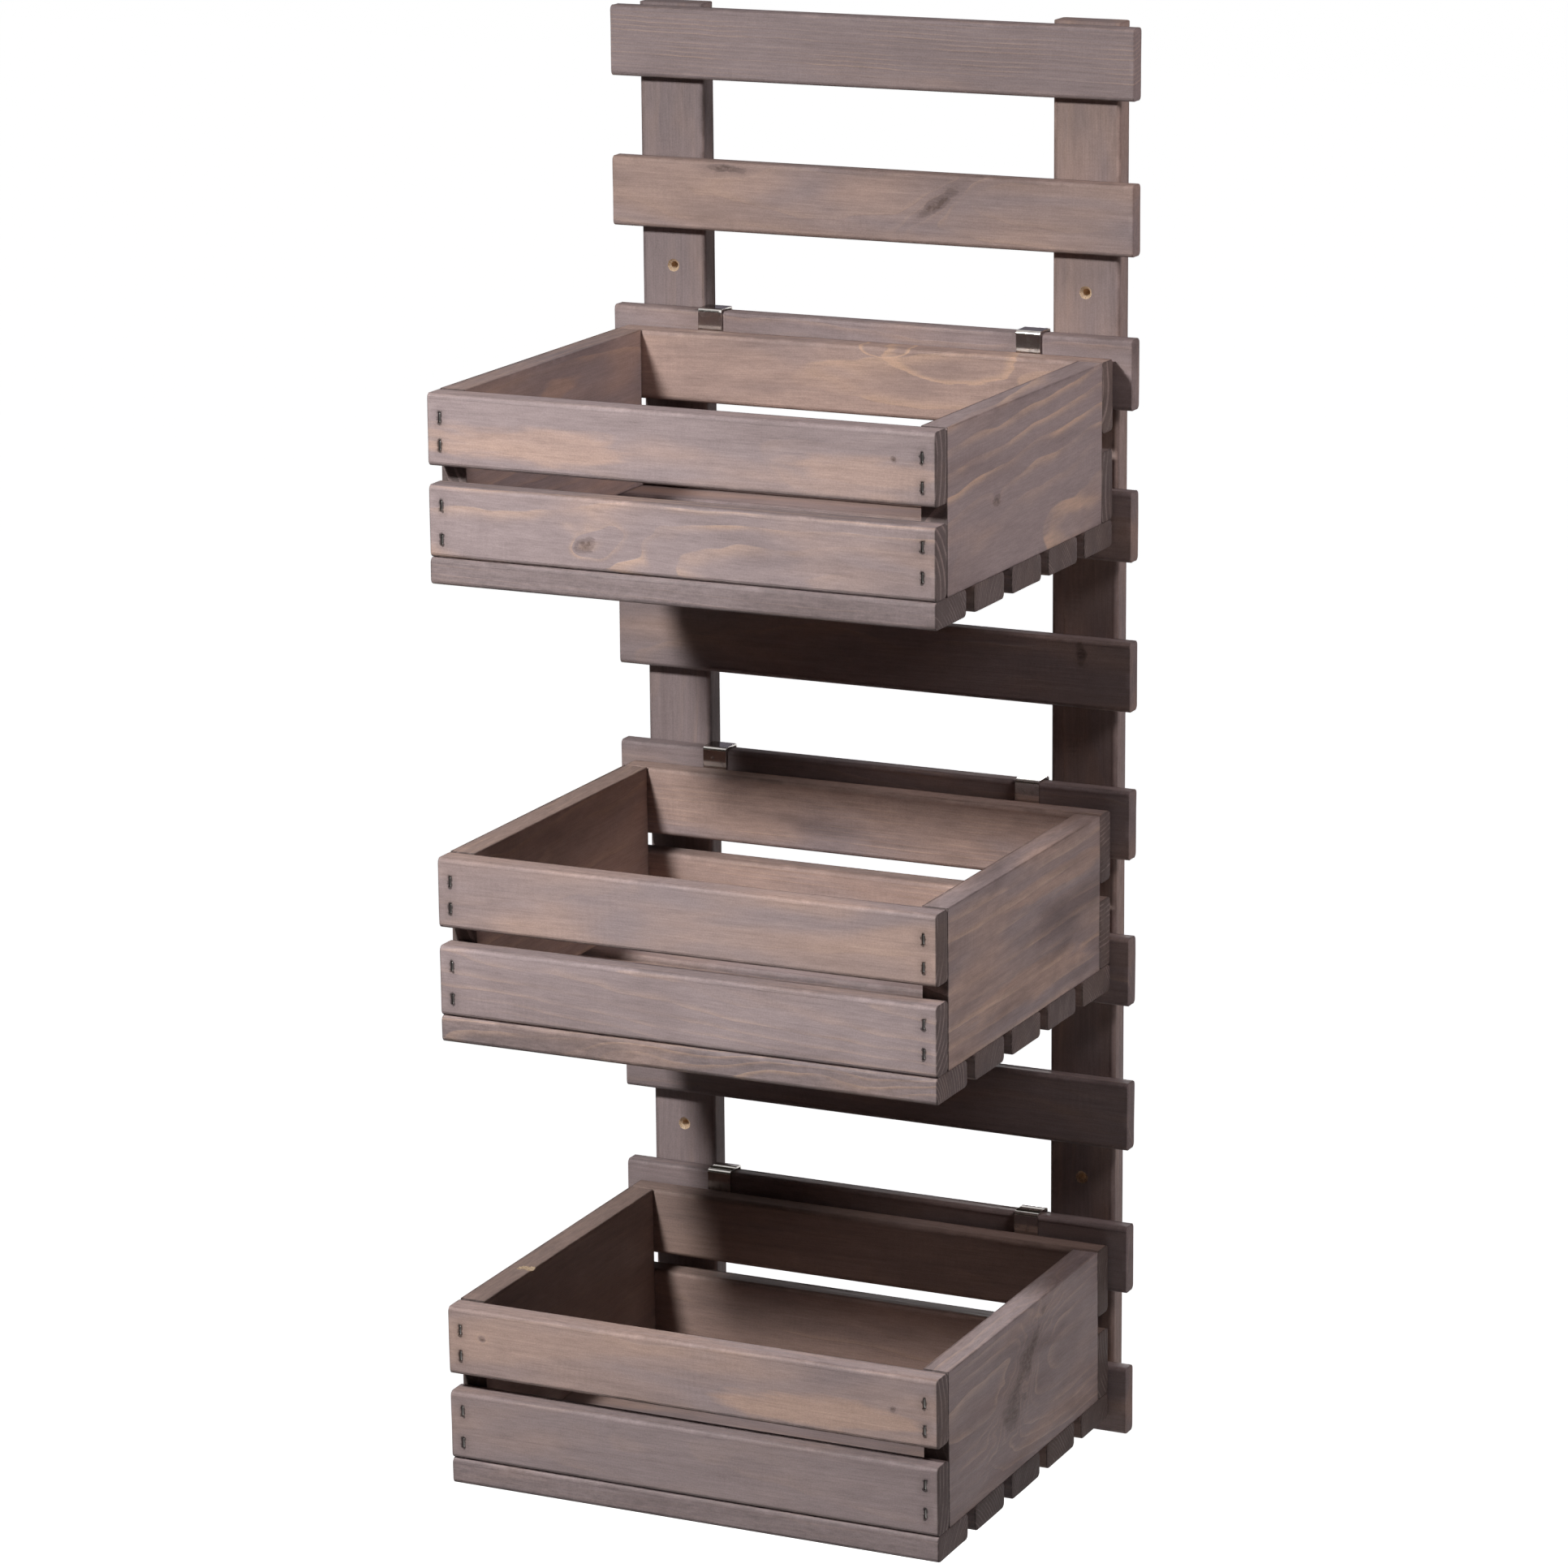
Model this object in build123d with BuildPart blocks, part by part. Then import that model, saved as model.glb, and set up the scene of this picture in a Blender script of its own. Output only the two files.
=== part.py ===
from build123d import *
import os
from math import asin, degrees, radians, sin

# Wall-mounted plant ladder. Ten wooden rails lie across two upright stiles, and three slatted crates
# hang on the rails by flat steel hooks. Each crate lifts off its rail, and can hang on any other.
#
# Millimetres. +Z is up, +X is to the right as seen from the room, and +Y points into the wall.
# The origin is on the wall, in the middle of the four screw holes.

# Ladder
rail_count = 10
rail_length = 380.0
rail_height = 47.5
rail_thickness = 13.5
rail_gap = 54.0
rail_edge_radius = 2.2
stile_width = 47.5
stile_thickness = 18.0
stile_edge_radius = 3.0
stile_inset = 15.0
stile_rise = 2.0

# Wall screw holes, in the middle of the gaps under these rails, counted from the top
screw_gap_rails = (2, 8)
screw_hole_radius = 2.5
screw_sink_radius = 4.5
sink_angle = 90

# Crates, and the rails that they hang on
crate_rails = (3, 6, 9)
crate_width = 355.0
board_thickness = 18.0
slat_width = 47.5
slat_gap = 12.0
slat_edge_radius = 3.5
panel_edge_radius = 0.8
bottom_slat_count = 5
crate_drop = 12.5
# How far each crate leans out, as a share of the lean at which its foot meets the rail below
lean_shares = (0.0, 0.35, 1.0)

# Hooks
hook_width = 17.5
hook_thickness = 1.5
hook_bend_radius = 2.5
hook_drop = 30.0
hook_tail = 20.0
hook_clearance = 0.3
hook_stile_clearance = 2.0

# Hook screws: their heights are shares of the hook's drop
hook_screw_shares = (0.3, 0.72)
hook_screw_radius = 1.75
hook_screw_head_radius = 3.1
hook_screw_length = 15.0
hook_screw_clearance = 0.1
recess_width = 0.9
recess_depth = 0.8

# Staples: each row holds the places of one slat end's two staples, as shares of the slat's width
staple_crown = 6.7
staple_wire = 1.2
staple_leg = 25.0
staple_shares = ((0.33, 0.71), (0.28, 0.75), (0.35, 0.74), (0.27, 0.68), (0.31, 0.73))
rail_staple_shares = ((-0.2, 0.3), (0.22, 0.7))

# The ladder's places, from the sizes above
rail_pitch = rail_height + rail_gap
gap_centers = [-rail_height * rail - rail_gap * (rail - 1) - rail_gap / 2 for rail in screw_gap_rails]
ladder_top = -sum(gap_centers) / len(gap_centers)
screw_heights = [ladder_top + center for center in gap_centers]
stile_length = rail_count * rail_height + (rail_count - 1) * rail_gap + stile_rise
stile_center_x = rail_length / 2 - stile_inset - stile_width / 2
rail_front_y = -stile_thickness - rail_thickness
rail_tops = [ladder_top - rail_pitch * index for index in range(rail_count)]

# The crate's own sizes
panel_height = 2 * slat_width + slat_gap
crate_height = panel_height + board_thickness
crate_depth = bottom_slat_count * slat_width + (bottom_slat_count - 1) * slat_gap
slat_pitch = slat_width + slat_gap
panel_center_x = crate_width / 2 - board_thickness / 2

# The hooks' own sizes
full_lean = asin(hook_thickness / (crate_height - hook_drop))
hook_rise = crate_drop + hook_clearance
lean_slack = (hook_drop + hook_rise) * sin(full_lean)
hook_throat = rail_thickness + 2 * hook_clearance + lean_slack
hook_center_x = stile_center_x - stile_width / 2 - hook_stile_clearance - hook_width / 2

os.makedirs("parts", exist_ok=True)


def save(piece, label):
    piece.part.label = label
    export_step(piece.part, f"parts/{label}.step")


# Stiles
for side, name in ((-1, "left"), (1, "right")):
    stile_foot = ladder_top + stile_rise - stile_length
    with BuildPart() as stile:
        with BuildSketch(Plane.XY.offset(stile_foot)):
            with Locations((side * stile_center_x, -stile_thickness / 2)):
                Rectangle(stile_width, stile_thickness)
        extrude(amount=stile_length)
        fillet(stile.edges().filter_by(Axis.Z), stile_edge_radius)
        with Locations(Plane.XZ.offset(stile_thickness)):
            with Locations(*[(side * stile_center_x, height) for height in screw_heights]):
                CounterSinkHole(screw_hole_radius, screw_sink_radius, stile_thickness, sink_angle)
    save(stile, f"{name}_stile")

# Rails
with BuildPart() as rail_form:
    Box(rail_length, rail_thickness, rail_height, align=(Align.CENTER, Align.MIN, Align.MAX))
    fillet(rail_form.edges().filter_by(Axis.X), rail_edge_radius)

for number, top in enumerate(rail_tops, start=1):
    with BuildPart(Plane((0, rail_front_y, top))) as rail:
        add(rail_form.part)
    save(rail, f"rail_{number:02d}")

# One staple: its crown runs along X with its face at height 0, and its legs point down
with BuildPart() as staple_form:
    Box(staple_crown, staple_wire, staple_wire, align=(Align.CENTER, Align.CENTER, Align.MAX))
    with GridLocations(staple_crown - staple_wire, 0, 2, 1):
        Box(staple_wire, staple_wire, staple_leg, align=(Align.CENTER, Align.CENTER, Align.MAX))

# The rails' staples come from behind, through the stiles
for side, name in ((-1, "left"), (1, "right")):
    staple_places = [
        Plane(
            origin=(side * stile_center_x + across * stile_width, 0, top - down * rail_height),
            x_dir=(0, 0, 1),
            z_dir=(0, 1, 0),
        )
        for top in rail_tops
        for across, down in rail_staple_shares
    ]
    with BuildPart() as rail_staples:
        with Locations(*staple_places):
            add(staple_form.part)
    save(rail_staples, f"{name}_rail_staples")

# The crate's pieces, in the crate's own frame: its origin is the middle of the top edge of its back.
# Front and back slats stand on their edge, and a bottom slat lies flat.
with BuildPart() as standing_slat_form:
    Box(crate_width, board_thickness, slat_width, align=(Align.CENTER, Align.MIN, Align.MAX))
    fillet(standing_slat_form.edges().filter_by(Axis.X), slat_edge_radius)

with BuildPart() as bottom_slat_form:
    Box(crate_width, slat_width, board_thickness, align=(Align.CENTER, Align.MIN, Align.MAX))
    fillet(bottom_slat_form.edges().filter_by(Axis.X), slat_edge_radius)

with BuildPart() as panel_form:
    Box(
        board_thickness,
        crate_depth - 2 * board_thickness,
        panel_height,
        align=(Align.CENTER, Align.MIN, Align.MAX),
    )
    fillet(panel_form.edges(), panel_edge_radius)

# Hook: a strap up the crate's back, over the rail and down behind it, drawn from the side
screw_drops = [-share * hook_drop for share in hook_screw_shares]
hook_top = hook_rise + hook_thickness
hook_back = 2 * hook_thickness + hook_throat
with BuildPart() as hook_form:
    with BuildSketch(Plane.YZ) as strap:
        with Locations((0, hook_top)):
            Rectangle(hook_back, hook_top + hook_drop, align=(Align.MIN, Align.MAX))
        with Locations((hook_thickness, hook_rise)):
            Rectangle(hook_throat, hook_rise + hook_drop, align=(Align.MIN, Align.MAX), mode=Mode.SUBTRACT)
        with Locations((hook_thickness, hook_rise - hook_clearance - hook_tail)):
            Rectangle(
                hook_back, hook_drop + hook_top, align=(Align.MIN, Align.MAX), mode=Mode.SUBTRACT
            )
        fillet(strap.vertices().group_by(Axis.Y)[-1], hook_bend_radius)
        inner_corners = strap.vertices().filter_by_position(Axis.Y, hook_rise, hook_rise)
        fillet(inner_corners, hook_bend_radius - hook_thickness)
    extrude(amount=hook_width / 2, both=True)
    with Locations(Plane.XZ.offset(-hook_thickness)):
        with Locations(Location((0, 0, 0), (0, 180, 0))):
            with Locations(*[(0, drop) for drop in screw_drops]):
                CounterSinkHole(
                    hook_screw_radius + hook_screw_clearance,
                    hook_screw_head_radius + hook_screw_clearance,
                    hook_thickness,
                    sink_angle,
                )

# One hook screw: its head's face is at height 0, with a cross recess, and its point is down
head_height = hook_screw_head_radius - hook_screw_radius
with BuildPart() as screw_form:
    with BuildSketch(Plane.XZ):
        with BuildLine():
            Polyline(
                (0, 0),
                (hook_screw_head_radius, 0),
                (hook_screw_radius, -head_height),
                (hook_screw_radius, hook_screw_radius - hook_screw_length),
                (0, -hook_screw_length),
                close=True,
            )
        make_face()
    revolve(axis=Axis.Z)
    for length, width in ((head_height * 2, recess_width), (recess_width, head_height * 2)):
        Box(length, width, 2 * recess_depth, mode=Mode.SUBTRACT)

hook_screw_places = [
    Plane(origin=(side * hook_center_x, hook_thickness, drop), x_dir=(1, 0, 0), z_dir=(0, 1, 0))
    for side in (-1, 1)
    for drop in screw_drops
]
with BuildPart() as hook_screws_form:
    with Locations(*hook_screw_places):
        add(screw_form.part)

# The slats' forms and places in the crate's frame
upper, lower = 0, -slat_pitch
front_y, back_y = -crate_depth, -board_thickness
bottom_ys = [-crate_depth + index * slat_pitch for index in range(bottom_slat_count)]
slat_places = {
    "front_upper_slat": (standing_slat_form, (0, front_y, upper)),
    "front_lower_slat": (standing_slat_form, (0, front_y, lower)),
    "back_upper_slat": (standing_slat_form, (0, back_y, upper)),
    "back_lower_slat": (standing_slat_form, (0, back_y, lower)),
}
for index, slat_y in enumerate(bottom_ys, start=1):
    slat_places[f"bottom_slat_{index}"] = (bottom_slat_form, (0, slat_y, -panel_height))

# The crate's staples, two at each end of each slat, driven into the panels
crate_staple_places = []
for side in (-1, 1):
    for face_y, outward in ((front_y, -1), (0, 1)):
        for row, slat_top in enumerate((upper, lower)):
            for share in staple_shares[row if side < 0 else row + 2]:
                crate_staple_places.append(
                    Plane(
                        origin=(side * panel_center_x, face_y, slat_top - share * slat_width),
                        x_dir=(0, 0, 1),
                        z_dir=(0, outward, 0),
                    )
                )
    for row, slat_y in enumerate(bottom_ys):
        for share in staple_shares[row]:
            crate_staple_places.append(
                Plane(
                    origin=(side * panel_center_x, slat_y + share * slat_width, -crate_height),
                    x_dir=(0, 1, 0),
                    z_dir=(0, 0, -1),
                )
            )
with BuildPart() as crate_staples_form:
    with Locations(*crate_staple_places):
        add(staple_form.part)

# Each crate hangs clear of its rail by the strap, and leans about the top edge of its back
for number, (rail_number, lean_share) in enumerate(zip(crate_rails, lean_shares), start=1):
    lean = lean_share * full_lean
    back_gap = hook_thickness + hook_clearance + hook_drop * sin(lean)
    crate_top = rail_tops[rail_number - 1] - crate_drop
    crate_frame = Plane((0, rail_front_y - back_gap, crate_top)).rotated((degrees(lean), 0, 0))
    pieces = {
        "left_panel": (panel_form, (-panel_center_x, -crate_depth + board_thickness, 0)),
        "right_panel": (panel_form, (panel_center_x, -crate_depth + board_thickness, 0)),
        "left_hook": (hook_form, (-hook_center_x, 0, 0)),
        "right_hook": (hook_form, (hook_center_x, 0, 0)),
        "hook_screws": (hook_screws_form, (0, 0, 0)),
        "staples": (crate_staples_form, (0, 0, 0)),
        **slat_places,
    }
    for piece_name, (form, place) in pieces.items():
        with BuildPart(crate_frame) as piece:
            with Locations(place):
                add(form.part)
        save(piece, f"crate_{number}_{piece_name}")
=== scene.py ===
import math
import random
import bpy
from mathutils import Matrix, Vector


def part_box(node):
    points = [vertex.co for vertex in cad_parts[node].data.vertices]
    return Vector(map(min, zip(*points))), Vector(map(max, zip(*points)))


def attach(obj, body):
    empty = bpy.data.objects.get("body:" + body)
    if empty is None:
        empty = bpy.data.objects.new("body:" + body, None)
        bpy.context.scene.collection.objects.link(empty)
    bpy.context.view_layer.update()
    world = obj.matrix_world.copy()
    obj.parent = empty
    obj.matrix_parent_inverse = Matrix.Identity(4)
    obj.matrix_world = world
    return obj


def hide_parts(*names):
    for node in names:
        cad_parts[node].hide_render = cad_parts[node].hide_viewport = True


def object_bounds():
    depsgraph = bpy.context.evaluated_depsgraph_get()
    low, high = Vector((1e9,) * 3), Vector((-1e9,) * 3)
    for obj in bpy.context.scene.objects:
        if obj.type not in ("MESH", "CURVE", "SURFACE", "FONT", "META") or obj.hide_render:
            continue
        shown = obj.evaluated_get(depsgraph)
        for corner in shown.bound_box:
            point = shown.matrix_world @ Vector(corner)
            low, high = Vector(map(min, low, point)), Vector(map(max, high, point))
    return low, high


bl_info = {
    "name": "Wall Plant Ladder",
    "version": (1, 0, 0),
    "blender": (4, 5, 0),
    "location": "View3D > Sidebar > Plant Ladder",
    "description": "A stained wooden wall ladder with three slatted crates hung on it by steel hooks",
    "category": "Add Mesh",
}

import bmesh
import bpy
from mathutils import Matrix, Vector, noise

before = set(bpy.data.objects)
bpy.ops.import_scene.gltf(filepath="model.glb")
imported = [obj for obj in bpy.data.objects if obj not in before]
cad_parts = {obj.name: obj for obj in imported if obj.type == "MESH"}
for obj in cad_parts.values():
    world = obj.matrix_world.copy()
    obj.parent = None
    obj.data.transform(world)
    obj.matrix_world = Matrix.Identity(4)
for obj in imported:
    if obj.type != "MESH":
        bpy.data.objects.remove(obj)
CAD_BOX = [list(corner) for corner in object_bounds()]

CRATES = ("crate_1", "crate_2", "crate_3")
RAILS = [f"rail_{number:02d}" for number in range(1, 11)]
# The wall screws' holes lie midway between these two rails and the ones below them
RAILS_ABOVE_HOLES = ("rail_02", "rail_08")
# Where each side lies along the ladder's X axis
SIDES = {"left": -1, "right": 1}
WHITE = (1.0, 1.0, 1.0, 1.0)
# Points of a mesh that are nearer than this are one point
SAME_SPOT = 1e-6

# A board's own axes: X along its grain, Y across its width, Z out of the face that the staples go into.
# Each way of lying gives these three axes in the ladder's axes.
LIES = {
    "front": ((1, 0, 0), (0, 0, 1), (0, -1, 0)),
    "back": ((-1, 0, 0), (0, 0, 1), (0, 1, 0)),
    "flat": ((1, 0, 0), (0, -1, 0), (0, 0, -1)),
    "right_side": ((0, 1, 0), (0, 0, 1), (1, 0, 0)),
    "left_side": ((0, -1, 0), (0, 0, 1), (-1, 0, 0)),
    "upright": ((0, 0, 1), (-1, 0, 0), (0, -1, 0)),
}

# Where the two staples of a slat's end sit, as shares of the slat's width from its upper or front edge
STAPLE_SHARES = ((0.33, 0.71), (0.28, 0.75), (0.35, 0.74), (0.27, 0.68), (0.31, 0.73))
# Those of the front and back slats, at their left and right ends
SLAT_STAPLES = {
    "upper": (STAPLE_SHARES[0], STAPLE_SHARES[2]),
    "lower": (STAPLE_SHARES[1], STAPLE_SHARES[3]),
}
# Each rail's two staples in a stile's back: across the stile from its middle, and down from the rail's top
RAIL_STAPLE_SHARES = ((-0.2, 0.3), (0.22, 0.7))
# How far a staple's crown lies below the wood's face
STAPLE_SUNK = 0.00035
# Where a hook's two screws sit, as shares of its length below the crate's top edge
SCREW_SHARES = (0.3, 0.72)

# How some boards were cut and stained, in metres on the face with the staples:
# heart: from the board's middle to the heart of its log, across the board and through it
# rise: how far the heart drifts for each metre of board, across and through
# rings: how wide, how wavy and how cloudy the year rings are, where 1 is ordinary
# tone: warmth, lightness, and strength of the late wood's streaks; the low lightness of crate 3's inner
# boards is painted shade
# knots: along, across, half length and half width of each, and how far it leans along the board for each
#   metre across, if it does; a half width below zero is a mere swirl
# patches: the same four for each warm patch, and its strength; a strength below zero leaves just the pale
#   line of one hard ring round it
BOARD_LOOKS = {
    "rail_01": {
        "heart": (0.105, 0.022), "rise": (0.012, 0.0), "rings": (0.9, 0.3, 0.5), "tone": (0.1, 1.06, 0.6)
    },
    "rail_02": {
        "heart": (0.006, 0.075), "rise": (0.01, 0.02), "rings": (1.3, 0.8, 0.8), "tone": (0.62, 1.04, 0.3),
        "knots": ((0.052, 0.005, 0.0055, 0.0085, 1.3), (-0.104, 0.0195, 0.009, 0.0025))
    },
    "rail_03": {"rings": (1.2, 0.7, 1.5), "tone": (0.25, 1.1, 0.3)},
    "rail_05": {"tone": (0.35, 0.86, 0.3), "knots": ((0.154, 0.012, 0.003, 0.006),)},
    "rail_08": {"tone": (0.2, 0.84, 0.4)},
    "left_stile": {"heart": (0.02, 0.07), "rings": (1.5, 0.6, 0.6), "tone": (0.25, 0.92, 0.25)},
    "right_stile": {"heart": (-0.01, 0.06), "rings": (1.5, 0.6, 0.6), "tone": (0.6, 0.98, 0.3)},
    "crate_1_front_upper_slat": {
        "heart": (0.004, 0.085), "rise": (0.0, 0.03), "rings": (2.2, 1.2, 1.0), "tone": (0.3, 1.05, 0.2),
        "knots": ((0.1496, 0.005, 0.0017, 0.0017),),
        "patches": ((-0.095, -0.006, 0.075, 0.011, 0.9), (0.125, -0.008, 0.05, 0.012, 0.8))
    },
    "crate_1_front_lower_slat": {
        "heart": (-0.012, 0.045), "rise": (0.03, 0.05), "rings": (1.8, 1.1, 1.1), "tone": (0.25, 1.05, 0.8),
        "knots": ((-0.066, -0.007, 0.007, 0.0042), (-0.044, -0.002, 0.013, -0.006))
    },
    "crate_1_back_upper_slat": {
        "heart": (0.004, -0.04), "rise": (0.03, 0.05), "rings": (2.6, 1.0, 1.2), "tone": (0.85, 1.06, 0.8),
        "patches": ((-0.069, 0.0205, 0.047, 0.019, -1.1), (-0.021, 0.0225, 0.018, 0.006, -1.4))
    },
    "crate_1_bottom_slat_1": {"rings": (0.8, 0.6, 1.0), "tone": (0.1, 0.92, 0.2), "knots": ()},
    "crate_1_right_panel": {
        "heart": (-0.05, 0.06), "rise": (-0.02, 0.05), "rings": (3.6, 2.2, 0.9), "tone": (0.2, 1.08, 1.15),
        "knots": ((-0.0467, -0.0065, 0.005, 0.0032),)
    },
    "crate_1_left_panel": {
        "heart": (0.02, -0.05), "rings": (2.0, 1.2, 0.8), "tone": (0.4, 0.85, 0.6),
        "patches": ((-0.005, 0.033, 0.028, 0.007, 1.0),)
    },
    "crate_2_front_upper_slat": {"heart": (0.02, 0.09), "rings": (1.6, 0.8, 0.7), "tone": (0.55, 1.0, 0.2)},
    "crate_2_front_lower_slat": {
        "heart": (0.03, 0.05), "rise": (0.03, 0.03), "rings": (1.6, 1.2, 0.9), "tone": (0.12, 1.1, 0.4)
    },
    "crate_2_back_upper_slat": {"heart": (0.12, -0.01), "rings": (1.05, 0.3, 1.7), "tone": (0.72, 1.0, 0.5)},
    "crate_2_back_lower_slat": {"heart": (0.13, -0.005), "rings": (1.05, 0.3, 1.5), "tone": (0.8, 1.0, 0.5)},
    "crate_2_bottom_slat_1": {
        "heart": (0.05, 0.012), "rise": (0.05, 0.015), "rings": (1.0, 1.6, 1.3), "tone": (0.3, 0.98, 0.8),
        "knots": ()
    },
    "crate_2_bottom_slat_5": {"tone": (0.8, 0.95, 0.4)},
    "crate_2_right_panel": {
        "heart": (0.15, 0.05), "rise": (0.0, 0.0), "rings": (3.4, 0.7, 1.9), "tone": (0.5, 0.98, 0.75),
        "patches": ((0.03, 0.03, 0.16, 0.006, 0.9), (-0.01, -0.028, 0.1, 0.011, 1.0))
    },
    "crate_2_left_panel": {"heart": (0.02, -0.05), "rings": (2.2, 1.4, 0.8), "tone": (0.85, 0.88, 0.7)},
    "crate_3_front_upper_slat": {
        "heart": (0.0, 0.08), "rise": (0.01, 0.02), "rings": (1.6, 0.8, 0.8), "tone": (0.5, 0.97, 0.25),
        "knots": ((-0.152, 0.0047, 0.0024, 0.0017), (0.1476, 0.0, 0.0019, 0.0017)),
        "patches": ((0.105, -0.009, 0.066, 0.012, 1.15),)
    },
    "crate_3_front_lower_slat": {"heart": (0.01, 0.09), "rings": (1.6, 0.6, 0.8), "tone": (0.12, 0.9, 0.2)},
    # Crate 3's back slats, left panel and bottom slats 2 to 5 have a low lightness that is painted shade: it
    # darkens the inside of crate 3, which lies in crate 2's shadow
    "crate_3_back_upper_slat": {"rings": (1.2, 0.8, 0.9), "tone": (1.0, 0.68, 0.4)},
    "crate_3_back_lower_slat": {"rings": (1.2, 0.8, 0.9), "tone": (1.0, 0.7, 0.4)},
    "crate_3_left_panel": {"rings": (1.6, 1.0, 0.9), "tone": (1.0, 0.64, 0.3)},
    "crate_3_bottom_slat_2": {"rings": (0.8, 0.6, 1.2), "tone": (0.3, 0.66, 0.3), "knots": ()},
    "crate_3_bottom_slat_3": {"rings": (0.7, 0.5, 1.0), "tone": (0.3, 0.62, 0.3)},
    "crate_3_bottom_slat_4": {"rings": (0.8, 0.8, 1.1), "tone": (0.8, 0.66, 0.3)},
    "crate_3_bottom_slat_5": {"rings": (0.7, 0.6, 1.0), "tone": (1.0, 0.72, 0.3)},
    "crate_3_bottom_slat_1": {"rings": (0.8, 0.6, 1.0), "tone": (0.15, 0.93, 0.2), "knots": ()},
    "crate_3_right_panel": {
        "heart": (0.01, 0.045), "rise": (0.03, 0.03), "rings": (1.7, 1.0, 1.2), "tone": (0.25, 0.95, 0.5),
        "knots": ((0.004, 0.018, 0.011, 0.021, 1.05), (-0.022, -0.008, 0.012, 0.010, 0.6))
    }
}

# The two stained woods by their slots: name, how light the stain is, and how much of it the sawn ends drink
WOODS = {"ladder_wood": ("Ladder wood", 0.97, 0.08), "crate_wood": ("Crate wood", 1.0, 0.8)}
# The vectors that each vertex of a board keeps for its material, and the stain's colours
GRAIN_LAYERS = ("log_place", "first_knot", "second_knot", "ring_look")
BOARD_LAYERS = ("board_place", "board_half", "first_patch", "second_patch", "near_row", "far_row", "tone")
STAIN_COLOURS = ("stain", "warm", "dark", "late", "knot", "end_grain")
# What a board keeps for a knot or patch that it hasn't got, and for an end without staples
NOTHING_NEAR = (60.0, 60.0, 0.0)
NO_STAPLES = (9.0, 9.0, 9.0)


class LadderWood(bpy.types.PropertyGroup):
    """Colours and small sizes of the stained boards"""

    stain: bpy.props.FloatVectorProperty(
        name="Stain", description="Grey stain on the early wood", subtype="COLOR", size=3,
        default=(0.336, 0.265, 0.262)
    )
    warm: bpy.props.FloatVectorProperty(
        name="Warm Patches", description="Thinly stained wood that keeps some of its own colour",
        subtype="COLOR", size=3, default=(0.470, 0.328, 0.275)
    )
    dark: bpy.props.FloatVectorProperty(
        name="Dark Patches", description="Wood that has drunk the most stain", subtype="COLOR", size=3,
        default=(0.212, 0.162, 0.158)
    )
    late: bpy.props.FloatVectorProperty(
        name="Late Wood", description="Hard rings that take little stain", subtype="COLOR", size=3,
        default=(0.600, 0.405, 0.300)
    )
    knot: bpy.props.FloatVectorProperty(
        name="Knots", description="Heart of a knot", subtype="COLOR", size=3, default=(0.115, 0.078, 0.066)
    )
    bare: bpy.props.FloatVectorProperty(
        name="Bare Wood", description="Fresh wood in the drilled holes and chips", subtype="COLOR", size=3,
        default=(0.82, 0.64, 0.46)
    )
    end_grain: bpy.props.FloatVectorProperty(
        name="End Grain", description="Sawn ends, which drink the stain deeply", subtype="COLOR", size=3,
        default=(0.125, 0.098, 0.092)
    )
    ring_spacing: bpy.props.FloatProperty(
        name="Ring Spacing", description="From one year ring to the next, in a board with ordinary growth",
        unit="LENGTH", default=0.0034, min=0.0005
    )
    chatter_pitch: bpy.props.FloatProperty(
        name="Planer Marks", description="From one planer mark to the next", unit="LENGTH", default=0.0046,
        min=0.001
    )
    rail_edge: bpy.props.FloatProperty(
        name="Rail Edges", description="Rounding of the rails' long edges", unit="LENGTH", default=0.0032,
        min=0.0002
    )
    stile_edge: bpy.props.FloatProperty(
        name="Stile Edges", description="Rounding of the stiles' long edges", unit="LENGTH", default=0.003,
        min=0.0002
    )
    slat_edge: bpy.props.FloatProperty(
        name="Slat Edges", description="Rounding of the slats' long edges", unit="LENGTH", default=0.0035,
        min=0.0002
    )
    panel_edge: bpy.props.FloatProperty(
        name="Panel Edges", description="Rounding of the crates' side panels", unit="LENGTH",
        default=0.0008, min=0.0002
    )
    end_edge: bpy.props.FloatProperty(
        name="Sawn Edges", description="Rounding of the edges round a board's sawn ends", unit="LENGTH",
        default=0.0007, min=0.0002
    )
    unevenness: bpy.props.FloatProperty(
        name="Unevenness", description="How far a board's faces dip below flat", unit="LENGTH",
        default=0.0003, min=0.0
    )


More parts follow.
